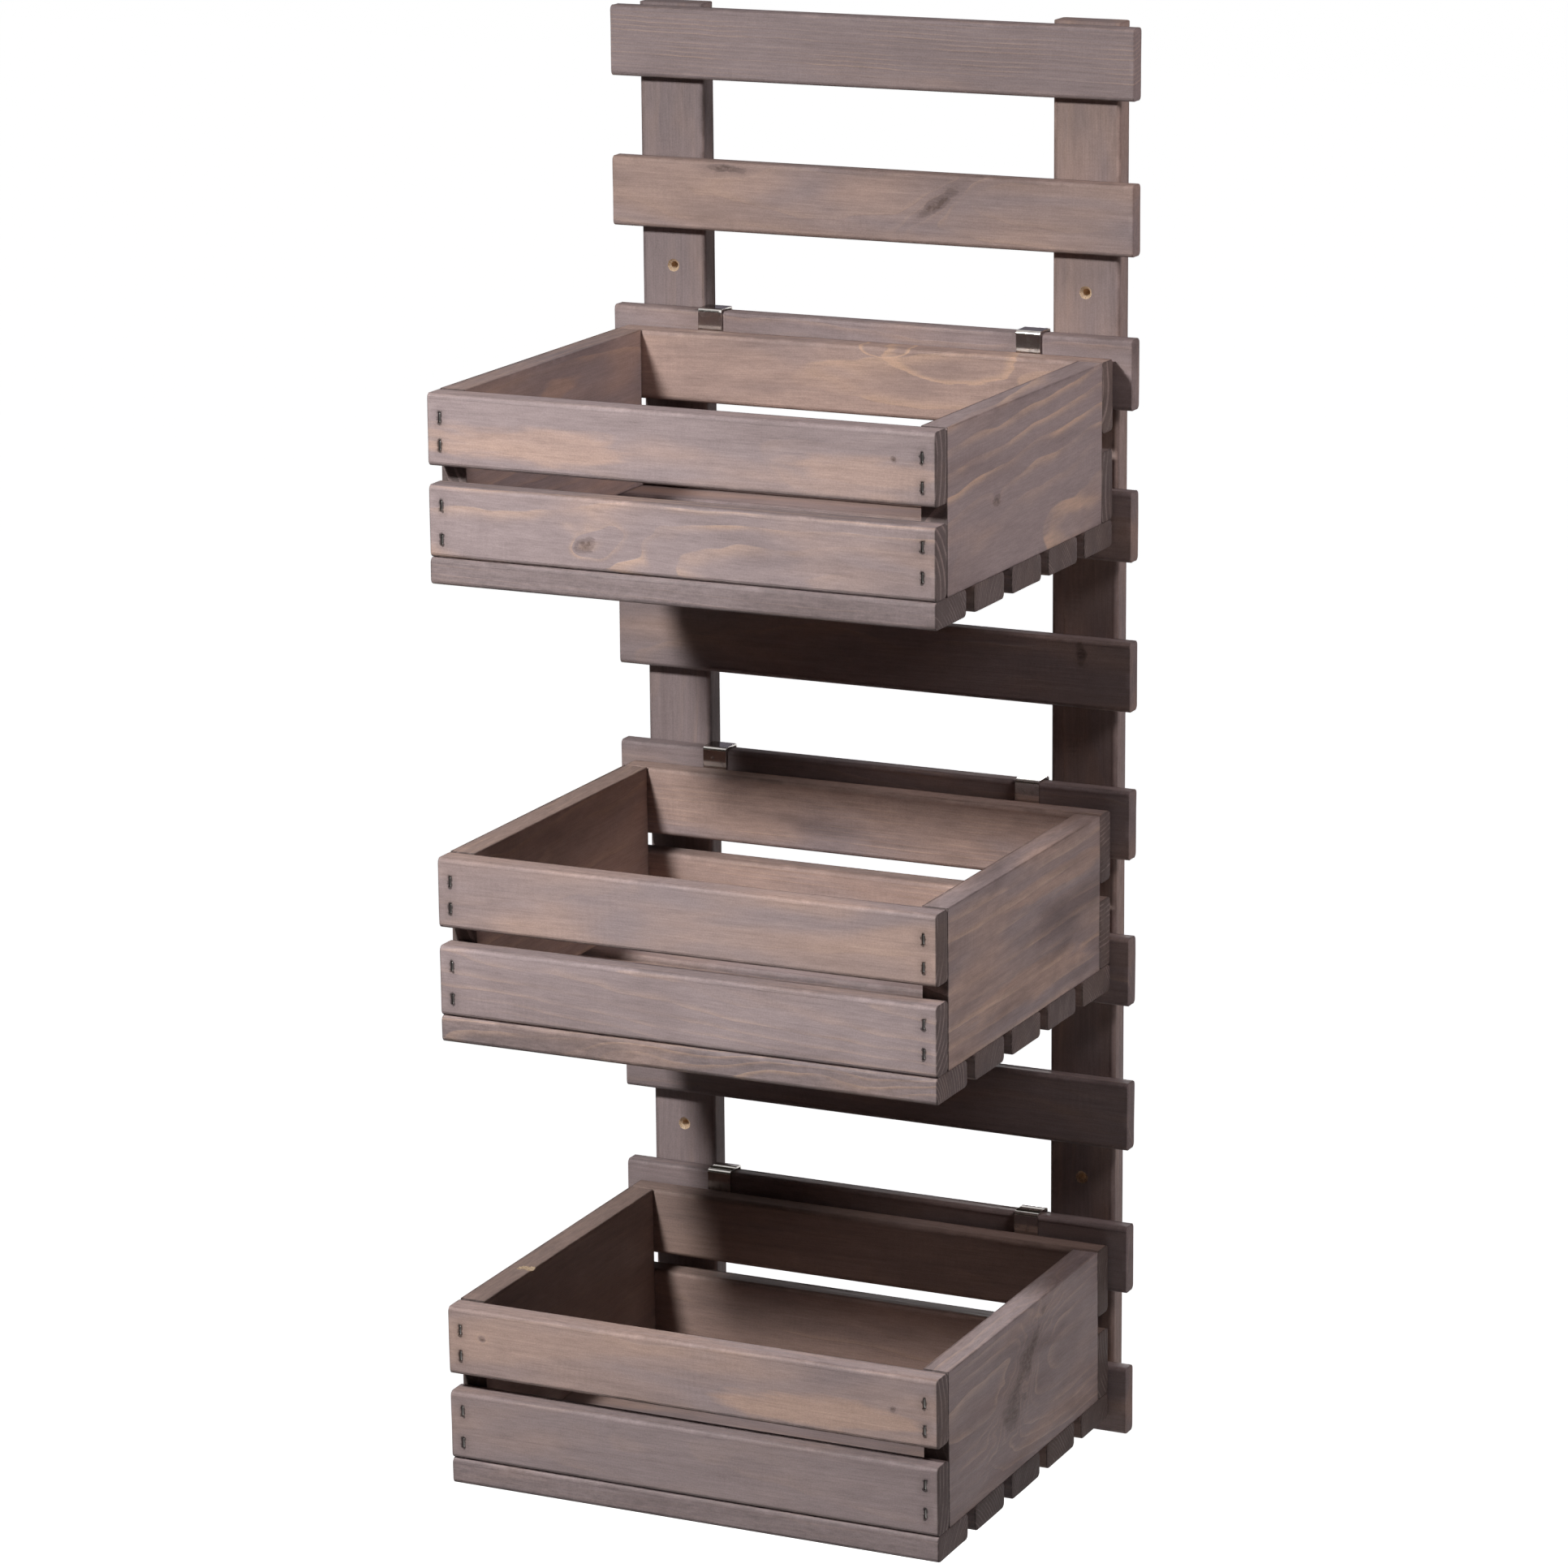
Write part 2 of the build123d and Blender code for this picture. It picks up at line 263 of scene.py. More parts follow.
class LadderSteel(bpy.types.PropertyGroup):
    """Sizes and colours of the hooks, screws and staples"""

    plate: bpy.props.FloatVectorProperty(
        name="Hook Plating", description="Bright plated steel of the hooks", subtype="COLOR", size=3,
        default=(0.62, 0.59, 0.56)
    )
    wire: bpy.props.FloatVectorProperty(
        name="Staple Wire", description="Dull wire of the staples", subtype="COLOR", size=3,
        default=(0.42, 0.40, 0.38)
    )
    zinc: bpy.props.FloatVectorProperty(
        name="Screw Plating", description="Zinc plate of the hook screws", subtype="COLOR", size=3,
        default=(0.62, 0.61, 0.58)
    )
    hook_thickness: bpy.props.FloatProperty(
        name="Hook Thickness", description="Thickness of the hooks' strip steel", unit="LENGTH",
        default=0.0015, min=0.0005
    )
    hook_bend: bpy.props.FloatProperty(
        name="Hook Bends", description="Outer radius of the hooks' bends", unit="LENGTH", default=0.0025,
        min=0.0016
    )
    hook_tail: bpy.props.FloatProperty(
        name="Hook Tail", description="How far a hook's tail reaches below the crate's top edge",
        unit="LENGTH", default=0.0075, min=0.001
    )
    staple_crown: bpy.props.FloatProperty(
        name="Staple Crown", description="Length of a staple's crown", unit="LENGTH", default=0.0067,
        min=0.003
    )
    staple_wire: bpy.props.FloatProperty(
        name="Staple Wire Width", description="Width of a staple's wire", unit="LENGTH", default=0.0011,
        min=0.0004
    )
    staple_leg: bpy.props.FloatProperty(
        name="Staple Leg", description="Length of a staple's legs", unit="LENGTH", default=0.014, min=0.002
    )
    groove_depth: bpy.props.FloatProperty(
        name="Staple Grooves", description="How deep a staple has pressed into the wood", unit="LENGTH",
        default=0.0008, min=0.0
    )


class LadderStage(bpy.types.PropertyGroup):
    """Floor, lamps and camera"""

    floor_colour: bpy.props.FloatVectorProperty(
        name="Floor", description="Colour of the floor and the backdrop", subtype="COLOR", size=3,
        default=(0.80, 0.80, 0.80)
    )
    floor_drop: bpy.props.FloatProperty(
        name="Floor Drop", description="How far below the ladder's foot the floor lies", unit="LENGTH",
        default=0.95, min=0.0
    )
    key_power: bpy.props.FloatProperty(
        name="Front Lamp", description="Power of the soft lamp in front, to the left and above",
        unit="POWER", default=14.4, min=0.0
    )
    side_power: bpy.props.FloatProperty(
        name="Side Lamp", description="Power of the large soft lamp on the right", unit="POWER",
        default=18.3, min=0.0
    )
    back_power: bpy.props.FloatProperty(
        name="Back Lamp", description="Power of the large soft lamp behind the ladder", unit="POWER",
        default=30.0, min=0.0
    )
    room_light: bpy.props.FloatProperty(
        name="Room Light", description="Strength of the even light from all sides", default=0.002, min=0.0
    )
    focal_length: bpy.props.FloatProperty(
        name="Focal Length", description="Camera lens, on a sensor 36 mm wide", unit="CAMERA",
        default=133.72, min=1.0
    )
    distance: bpy.props.FloatProperty(
        name="Camera Distance", description="From the camera to the point that it looks at", unit="LENGTH",
        default=3.98835, min=0.1
    )
    aim: bpy.props.FloatVectorProperty(
        name="Camera Aim", description="The point that the camera looks at", subtype="TRANSLATION",
        unit="LENGTH", size=3, default=(-0.06489, -0.0315, -0.04661)
    )
    azimuth: bpy.props.FloatProperty(
        name="Camera Azimuth", description="How far the camera stands to the right of straight ahead",
        unit="ROTATION", default=math.radians(25.62)
    )
    elevation: bpy.props.FloatProperty(
        name="Camera Elevation", description="How far the camera looks down", unit="ROTATION",
        default=math.radians(14.04)
    )
    roll: bpy.props.FloatProperty(
        name="Camera Roll", description="Tilt of the camera about its own line of sight", unit="ROTATION",
        default=math.radians(-0.49)
    )


# Boards


def crate_lean(crate):
    """How a crate leans out from the wall, as a turn about the ladder's X axis."""
    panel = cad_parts[f"{crate}_right_panel"].data
    top = max(panel.polygons, key=lambda face: face.area * face.normal.z)
    return Matrix.Rotation(math.atan2(-top.normal.y, top.normal.z), 4, "X")


def leaning_crates():
    """Each crate's name with its lean."""
    return [(crate, crate_lean(crate)) for crate in CRATES]


def node_room(node, lean=Matrix.Identity(4)):
    """Middle and size of a CAD node, measured square to its crate's lean."""
    back = lean.inverted()
    spots = [back @ vertex.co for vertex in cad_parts[node].data.vertices]
    low = Vector([min(spot[axis] for spot in spots) for axis in range(3)])
    high = Vector([max(spot[axis] for spot in spots) for axis in range(3)])
    return (low + high) / 2, high - low


def back_edge(crate, lean):
    """Height and depth of the upper edge of a crate's back, measured square to its lean."""
    middle, room = node_room(f"{crate}_back_upper_slat", lean)
    return middle.z + room.z / 2, middle.y + room.y / 2


def panel_thickness():
    """Thickness of the crates' side panels, which the slats' staples are driven into."""
    low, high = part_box("crate_1_right_panel")
    return high.x - low.x


def lie_matrix(lie):
    """Turns a board's own axes into the ladder's."""
    return Matrix([Vector(axis) for axis in LIES[lie]]).transposed().to_4x4()


def cut_across(bm, axis, places):
    """Cuts new edge loops square to one axis."""
    for place in places:
        spot = Vector((0.0, 0.0, 0.0))
        way = Vector((0.0, 0.0, 0.0))
        spot[axis] = place
        way[axis] = 1.0
        everything = bm.verts[:] + bm.edges[:] + bm.faces[:]
        bmesh.ops.bisect_plane(bm, geom=everything, plane_co=spot, plane_no=way, dist=SAME_SPOT)


def round_off(bm, edges, radius, segments):
    """Rounds edges off."""
    bmesh.ops.bevel(
        bm, geom=edges, offset=radius, offset_type="OFFSET", affect="EDGES", segments=segments, profile=0.5,
        material=-1
    )


def even_cuts(half, margin, step):
    """Places of evenly spaced cuts between two margins, with the margins."""
    reach = half - margin
    count = max(1, round(2 * reach / step))
    return [-reach + 2 * reach * index / count for index in range(count + 1)]


def tear_chip(bm, top, chip, seed):
    """Tears a shallow chip from a board's upper narrow side, and gives its faces the bare wood.

    chip is its middle along the board and through it, its reach in these two ways, and its depth.
    """
    along, through, long_reach, deep_reach, depth = chip
    cuts = 7
    steps = [step / cuts for step in range(-cuts, cuts + 1)]
    cut_across(bm, 0, [along + long_reach * step for step in steps])
    cut_across(bm, 2, [through + deep_reach * step for step in steps])
    cut_across(bm, 1, [top - depth * 1.4])
    lowest = top - depth * 1.5
    torn = set()
    for vertex in bm.verts:
        # The share falls from 1 in the chip's middle to 0 at its ragged rim
        off = math.hypot((vertex.co.x - along) / long_reach, (vertex.co.z - through) / deep_reach)
        share = 1 - off + 0.45 * noise.noise(vertex.co * 420 + Vector((seed, 0.0, 0.0)))
        if share > 0.12 and vertex.co.y > lowest:
            fall = min(1.0, share * 1.8) * (0.75 + 0.5 * noise.noise(vertex.co * 900))
            vertex.co.y = min(vertex.co.y, top - depth * fall)
            torn.add(vertex)
    for face in bm.faces:
        if sum(vertex in torn for vertex in face.verts) >= 3:
            face.material_index = 1


def shape_board(size, edge, end_edge, grooves, uneven, seed, chips=()):
    """A board in its own axes: rounded edges, shallow dips in its faces, and a groove under each staple.

    A groove is the staple's place along and across the board, its face (1 or -1), and whether its crown runs
    across the board ("across") or along it ("along").
    """
    steel = bpy.context.scene.ladder_steel
    half = size / 2
    bm = bmesh.new()
    bmesh.ops.create_cube(bm, size=1.0)
    bmesh.ops.scale(bm, vec=size, verts=bm.verts)
    long_edges = [e for e in bm.edges if abs(e.verts[0].co.x - e.verts[1].co.x) > half.x]
    wide = 0.0015  # a wider rounding needs more steps
    round_off(bm, long_edges, edge, 5 if edge > wide else 3)
    rim = [e for e in bm.edges if all(abs(v.co.x) > half.x - SAME_SPOT for v in e.verts)]
    round_off(bm, rim, min(end_edge, edge * 0.5), 2)
    margin, long_step, cross_step = 0.0007, 0.016, 0.011
    cut_across(bm, 0, even_cuts(half.x, end_edge + margin, long_step))
    cut_across(bm, 1, even_cuts(half.y, edge + margin, cross_step))
    cut_across(bm, 2, even_cuts(half.z, edge + margin, cross_step))

    # The dips go inwards only, so that the board stays within its size
    bm.normal_update()
    for vertex in bm.verts:
        spot = vertex.co + Vector((seed, 0.0, seed))
        slow = noise.noise(Vector((spot.x * 9, spot.y * 30, spot.z * 30)))
        fast = noise.noise(Vector((spot.x * 45, spot.y * 80, spot.z * 80)))
        dip = min(1.0, max(0.0, 0.5 + 0.65 * slow + 0.35 * fast))
        vertex.co -= vertex.normal * dip * uneven
        vertex.co = [max(-most, min(most, part)) for part, most in zip(vertex.co, half)]

    # A groove under each staple's crown, a little wider than the wire
    clearance, slope = 0.0003, 0.00022
    crown, wire = steel.staple_crown / 2 + clearance, steel.staple_wire / 2 + clearance
    boxes = []
    for along, across, face, way in grooves:
        reach = (wire, crown) if way == "across" else (crown, wire)
        cut_across(bm, 0, (along - reach[0], along + reach[0]))
        cut_across(bm, 1, (across - reach[1], across + reach[1]))
        boxes.append((along, across, face, reach))
    for along, across, face, reach in boxes:
        pressed = []
        for part in bm.faces:
            middle = part.calc_center_median()
            beside = abs(middle.x - along) < reach[0] and abs(middle.y - across) < reach[1]
            if beside and part.normal.z * face > 0.9:
                pressed.append(part)
        bmesh.ops.inset_region(
            bm, faces=pressed, use_boundary=True, use_even_offset=True, thickness=slope,
            depth=-steel.groove_depth
        )
    for chip in chips:
        tear_chip(bm, half.y, chip, seed)
    mesh = bpy.data.meshes.new("board")
    bm.to_mesh(mesh)
    bm.free()
    return mesh


def keep_faces_flat(piece):
    """Lets the large faces set the shading beside their small bevels and bends."""
    weighted = piece.modifiers.new("Flat faces", "WEIGHTED_NORMAL")
    weighted.mode = "FACE_AREA"
    weighted.weight = 100
    weighted.keep_sharp = True


def smooth(mesh, angle=40):
    """Smooth shading, with edges sharper than the angle kept crisp."""
    mesh.polygons.foreach_set("use_smooth", [True] * len(mesh.polygons))
    mesh.set_sharp_from_angle(angle=math.radians(angle))


def new_piece(name, mesh, *materials):
    """Puts a mesh into the scene, with its materials."""
    piece = bpy.data.objects.new(name, mesh)
    bpy.context.scene.collection.objects.link(piece)
    for material in materials:
        mesh.materials.append(material)
    return piece


def carve(piece, cutter_mesh):
    """Cuts a shape out of a piece. The cut faces take the piece's second material, if it has one."""
    cutter = new_piece("cutter", cutter_mesh, *piece.data.materials)
    if len(piece.data.materials) > 1:
        cutter_mesh.polygons.foreach_set("material_index", [1] * len(cutter_mesh.polygons))
    cut = piece.modifiers.new("Cut", "BOOLEAN")
    cut.operation = "DIFFERENCE"
    cut.solver = "EXACT"
    cut.object = cutter
    bpy.context.view_layer.update()
    carved = bpy.data.meshes.new_from_object(piece.evaluated_get(bpy.context.evaluated_depsgraph_get()))
    piece.modifiers.clear()
    whole = piece.data
    piece.data = carved
    bpy.data.meshes.remove(whole)
    bpy.data.objects.remove(cutter)
    bpy.data.meshes.remove(cutter_mesh)
    if len(piece.data.polygons) < 6:
        raise RuntimeError(f"{piece.name} was lost when it was cut")


def board_look(node):
    """How a board was cut and stained: its own entry where it has one, else a steady pick by its name."""
    pick = random.Random(node)
    look = {
        "heart": (pick.uniform(-0.03, 0.03), pick.choice((-1, 1)) * pick.uniform(0.045, 0.09)),
        "rise": (pick.uniform(-0.02, 0.02), pick.uniform(-0.03, 0.03)),
        "rings": (pick.uniform(0.9, 1.9), pick.uniform(0.5, 1.3), pick.uniform(0.6, 1.0)),
        "tone": (pick.uniform(0.2, 0.6), pick.uniform(0.88, 0.98), pick.uniform(0.2, 0.5)),
        "knots": (), "patches": (), "start": pick.uniform(1.0, 30.0)
    }
    if "bottom" in node:
        look["heart"] = (pick.choice((-1, 1)) * pick.uniform(0.03, 0.09), pick.uniform(0.02, 0.05))
        look["rings"] = (pick.uniform(0.55, 0.85), pick.uniform(0.4, 0.9), pick.uniform(0.8, 1.2))
    if "bottom" in node and pick.random() < 0.6:
        look["knots"] = ((pick.uniform(-0.12, 0.12), pick.uniform(-0.012, 0.012), 0.005, 0.004),)
    look.update(BOARD_LOOKS.get(node, {}))
    return look


def write_layer(mesh, name, values):
    """Keeps one vector for each vertex, which a material reads by name."""
    layer = mesh.attributes.new(name, "FLOAT_VECTOR", "POINT")
    layer.data.foreach_set("vector", [number for value in values for number in value])


def write_grain(mesh, look, size, rows):
    """Writes where each point of a board lies: in the board, in its log, and from its knots and staples."""
    spots = [vertex.co.copy() for vertex in mesh.vertices]
    heart, rise, start = look["heart"], look["rise"], look["start"]
    log = [(s.x + start, s.y - heart[0] + rise[0] * s.x, s.z - heart[1] + rise[1] * s.x) for s in spots]
    write_layer(mesh, "board_place", spots)
    write_layer(mesh, "log_place", log)
    everywhere = {"board_half": size / 2, "tone": look["tone"], "ring_look": look["rings"], **rows}
    for name, value in everywhere.items():
        write_layer(mesh, name, [value] * len(spots))
    for index, number in enumerate(("first", "second")):
        knot = patch = [NOTHING_NEAR] * len(spots)
        if index < len(look["knots"]):
            x, y, length, width, lean = (*look["knots"][index], 0.0)[:5]
            swell = math.copysign(min(length, abs(width)), width)
            knot = [((s.x - x - lean * (s.y - y)) / length, (s.y - y) / abs(width), swell) for s in spots]
        if index < len(look["patches"]):
            x, y, length, width, strength = look["patches"][index]
            patch = [((s.x - x) / length, (s.y - y) / width, strength) for s in spots]
        write_layer(mesh, f"{number}_knot", knot)
        write_layer(mesh, f"{number}_patch", patch)


def place_in_ladder(piece, body, node):
    """Hangs a finished piece on its body, in place of its CAD node."""
    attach(piece, body)
    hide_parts(node)


def add_board(
    node, body, lie, edge, lean=Matrix.Identity(4), staple_ends=None, grooves=(), cutters=(), chips=()
):
    """Makes one board in place of its CAD node.

    staple_ends gives, for each end (-1 and 1 along X of the ladder), the shares of the width where its two
    staples sit. cutters are shapes in the board's own axes that are cut out of it.
    """
    wood = bpy.context.scene.ladder_wood
    slot = "ladder_wood" if body == "ladder" else "crate_wood"
    middle, room = node_room(node, lean)
    turn = lie_matrix(lie)
    size = Vector([abs(part) for part in turn.to_3x3().transposed() @ room])
    look = board_look(node)

    rows = {"near_row": NO_STAPLES, "far_row": NO_STAPLES}
    grooves = list(grooves)
    if staple_ends:
        along = size.x / 2 - panel_thickness() / 2
        for side, shares in staple_ends.items():
            end = side * turn[0][0]
            places = [size.y / 2 - share * size.y for share in shares]
            rows["far_row" if end > 0 else "near_row"] = (places[0], places[1], along)
            grooves += [(end * along, place, 1, "across") for place in places]

    mesh = shape_board(size, edge, wood.end_edge, grooves, wood.unevenness, look["start"], chips)
    piece = new_piece(node + "_board", mesh, stained_wood(*WOODS[slot]), bare_wood())
    for cutter in cutters:
        carve(piece, cutter)
    write_grain(piece.data, look, size, rows)
    smooth(piece.data)
    piece.data.transform(lean @ Matrix.Translation(middle) @ turn)
    place_in_ladder(piece, body, node)


# Nodes for the materials


def spoken(name):
    """A name in code as a socket's label."""
    return name.replace("_", " ").title()


class Wiring:
    """Puts nodes into one tree. Each step takes sockets or plain values, and gives back a socket."""

    def __init__(self, tree):
        self.tree = tree

    def put(self, kind, feeds, out=0, **settings):
        """Adds a node with its settings, feeds its inputs and gives one of its outputs."""
        node = self.tree.nodes.new(kind)
        for key, value in settings.items():
            setattr(node, key, value)
        for key, value in feeds.items():
            if isinstance(value, bpy.types.NodeSocket):
                self.tree.links.new(value, node.inputs[key])
            else:
                node.inputs[key].default_value = value
        return node.outputs[out]

    def math(self, operation, first, second=0.0, clamp=False):
        return self.put("ShaderNodeMath", {0: first, 1: second}, operation=operation, use_clamp=clamp)

    def chain(self, operation, first, *others):
        """One step after another with the same operation."""
        for other in others:
            first = self.math(operation, first, other)
        return first

    def times(self, *values):
        return self.chain("MULTIPLY", *values)

    def plus(self, *values):
        return self.chain("ADD", *values)

    def most(self, *values):
        return self.chain("MAXIMUM", *values)

    def least(self, *values):
        return self.chain("MINIMUM", *values)

    def above(self, value, level=0.5):
        """How far a value is above a level."""
        return self.math("SUBTRACT", value, level)

    def less(self, *values):
        """1 less the product of these values."""
        return self.above(1.0, self.times(*values))

    def reach(self, x, y):
        """The distance that two steps square to each other make."""
        return self.vector("LENGTH", self.join(x, y, 0.0), out=1)

    def grey(self, value):
        return self.join(value, value, value)

    def own_place(self):
        """Object coordinates."""
        return self.put("ShaderNodeTexCoord", {}, "Object")

    def give(self, sockets, **values):
        """Joins values to sockets of these names."""
        for name, value in values.items():
            self.tree.links.new(value, sockets[spoken(name)])

    def vector(self, operation, first, second=(0.0, 0.0, 0.0), out=0):
        return self.put("ShaderNodeVectorMath", {0: first, 1: second}, out, operation=operation)

    def stretch(self, place, along, across):
        """Scales a place in the log: along the grain, and across it."""
        return self.vector("MULTIPLY", place, (along, across, across))

    def parts(self, vector):
        node = self.tree.nodes.new("ShaderNodeSeparateXYZ")
        self.tree.links.new(vector, node.inputs[0])
        return node.outputs[0], node.outputs[1], node.outputs[2]

    def join(self, x, y, z):
        return self.put("ShaderNodeCombineXYZ", {0: x, 1: y, 2: z})

    def ease(self, value, start, end, low=0.0, high=1.0):
        """Goes smoothly from low to high while value goes from start to end."""
        feeds = {"Value": value, "From Min": start, "From Max": end, "To Min": low, "To Max": high}
        return self.put("ShaderNodeMapRange", feeds, interpolation_type="SMOOTHSTEP")

    def cloud(self, place, scale=1.0, detail=2.0, roughness=0.5, distortion=0.0, out=0):
        feeds = {
            "Vector": place, "Scale": scale, "Detail": detail, "Roughness": roughness,
            "Distortion": distortion
        }
        return self.put("ShaderNodeTexNoise", feeds, out)

    def blend(self, share, first, second, way="MIX"):
        feeds = {0: share, 6: first, 7: second}
        return self.put("ShaderNodeMix", feeds, 2, data_type="RGBA", blend_type=way)

    def layer(self, name):
        """A vector that each vertex keeps under this name."""
        return self.put("ShaderNodeAttribute", {}, 1, attribute_name=name)

    def group(self, tree, **feeds):
        node = self.tree.nodes.new("ShaderNodeGroup")
        node.node_tree = tree
        for key, value in feeds.items():
            name = spoken(key)
            if isinstance(value, bpy.types.NodeSocket):
                self.tree.links.new(value, node.inputs[name])
            else:
                node.inputs[name].default_value = value
        return node.outputs


def new_group(name, inputs, outputs):
    """An empty shader group with its sockets: the tree, its wiring, and where its values start and end."""
    tree = bpy.data.node_groups.new(name, "ShaderNodeTree")
    kinds = {"vector": "NodeSocketVector", "value": "NodeSocketFloat", "colour": "NodeSocketColor"}
    for way, sockets in (("INPUT", inputs), ("OUTPUT", outputs)):
        for kind, labels in sockets.items():
            for label in labels:
                tree.interface.new_socket(name=spoken(label), in_out=way, socket_type=kinds[kind])
    start = tree.nodes.new("NodeGroupInput")
    end = tree.nodes.new("NodeGroupOutput")
    return tree, Wiring(tree), start.outputs, end.inputs


def grain_group():
    """Rings, fibres and knots of softwood, from places in the log."""
    if "Softwood grain" in bpy.data.node_groups:
        return bpy.data.node_groups["Softwood grain"]
    tree, w, start, end = new_group(
        "Softwood grain", {"vector": GRAIN_LAYERS, "value": ("ring_spacing",)},
        {"value": ("late_wood", "fibre", "coarse_fibre", "knot", "knot_rim", "knot_halo")}
    )
    place = start["Log Place"]
    width, waviness = w.parts(start["Ring Look"])[:2]

    # The rings wander gently along the log, and swell round a knot
    wander = w.cloud(w.stretch(place, 8.0, 13.0), detail=1.5, out=1)
    wander = w.vector("MULTIPLY", w.vector("SUBTRACT", wander, (0.5, 0.5, 0.5)), (0.0, 0.013, 0.013))
    wander = w.vector("MULTIPLY", wander, w.grey(waviness))
    ripple = w.cloud(w.stretch(place, 42.0, 60.0), detail=1.0, out=1)
    ripple = w.vector("MULTIPLY", w.vector("SUBTRACT", ripple, (0.5, 0.5, 0.5)), (0.0, 0.0016, 0.0016))
    bent = w.vector("ADD", w.vector("ADD", place, wander), ripple)
    radius = w.vector("LENGTH", w.vector("MULTIPLY", bent, (0.0, 1.0, 1.0)), out=1)
    rough = w.cloud(w.stretch(place, 110.0, 190.0), detail=3.0, distortion=0.8)
    sway = w.parts(w.cloud(w.stretch(place, 40.0, 55.0), detail=1.0, out=1))
    aside = [w.times(w.above(part), most) for part, most in zip(sway, (3.2, 2.2))]
    torn = w.cloud(w.stretch(place, 260.0, 420.0), detail=2.0)
    cores, rims, halos = [], [], []
    for name in ("First Knot", "Second Knot"):
        x, y, size = w.parts(start[name])
        grown = w.math("GREATER_THAN", size, 0.0)
        away = w.reach(w.plus(x, aside[0]), w.plus(y, aside[1]))
        ragged = w.plus(away, w.times(w.above(rough), 1.5))
        near = w.math("POWER", math.e, w.times(w.math("POWER", away, 2.0), -0.22))
        radius = w.plus(radius, w.times(near, w.math("ABSOLUTE", size), 1.9))
        cores.append(w.times(w.ease(ragged, 1.05, 0.55), w.ease(torn, 0.3, 0.6, 0.35, 1.0), grown))
        rims.append(w.times(w.ease(w.math("ABSOLUTE", w.above(ragged, 1.0)), 0.34, 0.06), grown))
        halos.append(w.ease(ragged, 2.6, 0.6))
    ring = w.math("DIVIDE", radius, w.times(start["Ring Spacing"], width))
    part = w.math("FRACT", ring)
    own = w.put("ShaderNodeTexWhiteNoise", {"W": w.math("FLOOR", ring)}, noise_dimensions="1D")
    late = w.times(w.math("POWER", w.ease(part, 0.35, 0.95), 2.2), w.ease(part, 1.0, 0.955))
    fade = w.ease(w.cloud(w.stretch(place, 14.0, 46.0), detail=2.0), 0.36, 0.62)
    late = w.times(late, w.ease(own, 0.0, 1.0, 0.25, 1.0), w.ease(fade, 0.0, 1.0, 0.22, 1.0))

    w.give(
        end, late_wood=late, fibre=w.cloud(w.stretch(place, 26.0, 1300.0), detail=2.0, roughness=0.6),
        coarse_fibre=w.cloud(w.stretch(place, 9.0, 420.0), detail=2.0, roughness=0.55), knot=w.most(*cores),
        knot_rim=w.most(*rims), knot_halo=w.most(*halos)
    )
    return tree


def edges_group():
    """How near a point is to a board's edges, and whether it lies on a sawn end."""
    if "Board edges" in bpy.data.node_groups:
        return bpy.data.node_groups["Board edges"]
    tree, w, start, end = new_group(
        "Board edges", {"vector": ("board_place", "board_half")}, {"value": ("arris", "end", "narrow")}
    )
    gap = w.vector("SUBTRACT", start["Board Half"], w.vector("ABSOLUTE", start["Board Place"]))
    x, y, z = w.parts(gap)
    # A surface point is close to one face, so the middle one of the three gaps is its distance to an edge
    low, high = w.least(x, y), w.most(x, y)
    middle = w.most(low, w.least(high, z))
    w.give(
        end, arris=w.ease(middle, 0.0045, 0.0006), end=w.ease(x, 0.0012, 0.0004),
        narrow=w.ease(y, 0.0012, 0.0006)
    )
    return tree


def staple_mark_group():
    """Bruised, stained wood round the staples at a board's ends."""
    if "Staple marks" in bpy.data.node_groups:
        return bpy.data.node_groups["Staple marks"]
    tree, w, start, end = new_group(
        "Staple marks", {"vector": ("board_place", "near_row", "far_row")}, {"value": ("mark", "smudge")}
    )
    x, y, z = w.parts(start["Board Place"])
    marks, smudges = [], []
    cloud = w.cloud(start["Board Place"], scale=420.0, detail=2.0)
    for name, way in (("Near Row", -1.0), ("Far Row", 1.0)):
        upper, lower, along = w.parts(start[name])
        aside = w.above(w.times(x, way), along)
        for level in (upper, lower):
            off = w.above(y, level)
            # The crown is a short upright line, with a puncture at each end
            beyond = w.most(w.above(w.math("ABSOLUTE", off), 0.003), 0.0)
            away = w.reach(aside, beyond)
            away = w.plus(away, w.times(w.above(cloud), 0.0034))
            marks.append(w.ease(away, 0.0021, 0.0009))
            smudges.append(w.ease(away, 0.0075, 0.001))
    outside = w.ease(z, 0.0, 0.002)
    w.give(end, mark=w.times(w.most(*marks), outside), smudge=w.times(w.most(*smudges), outside))
    return tree


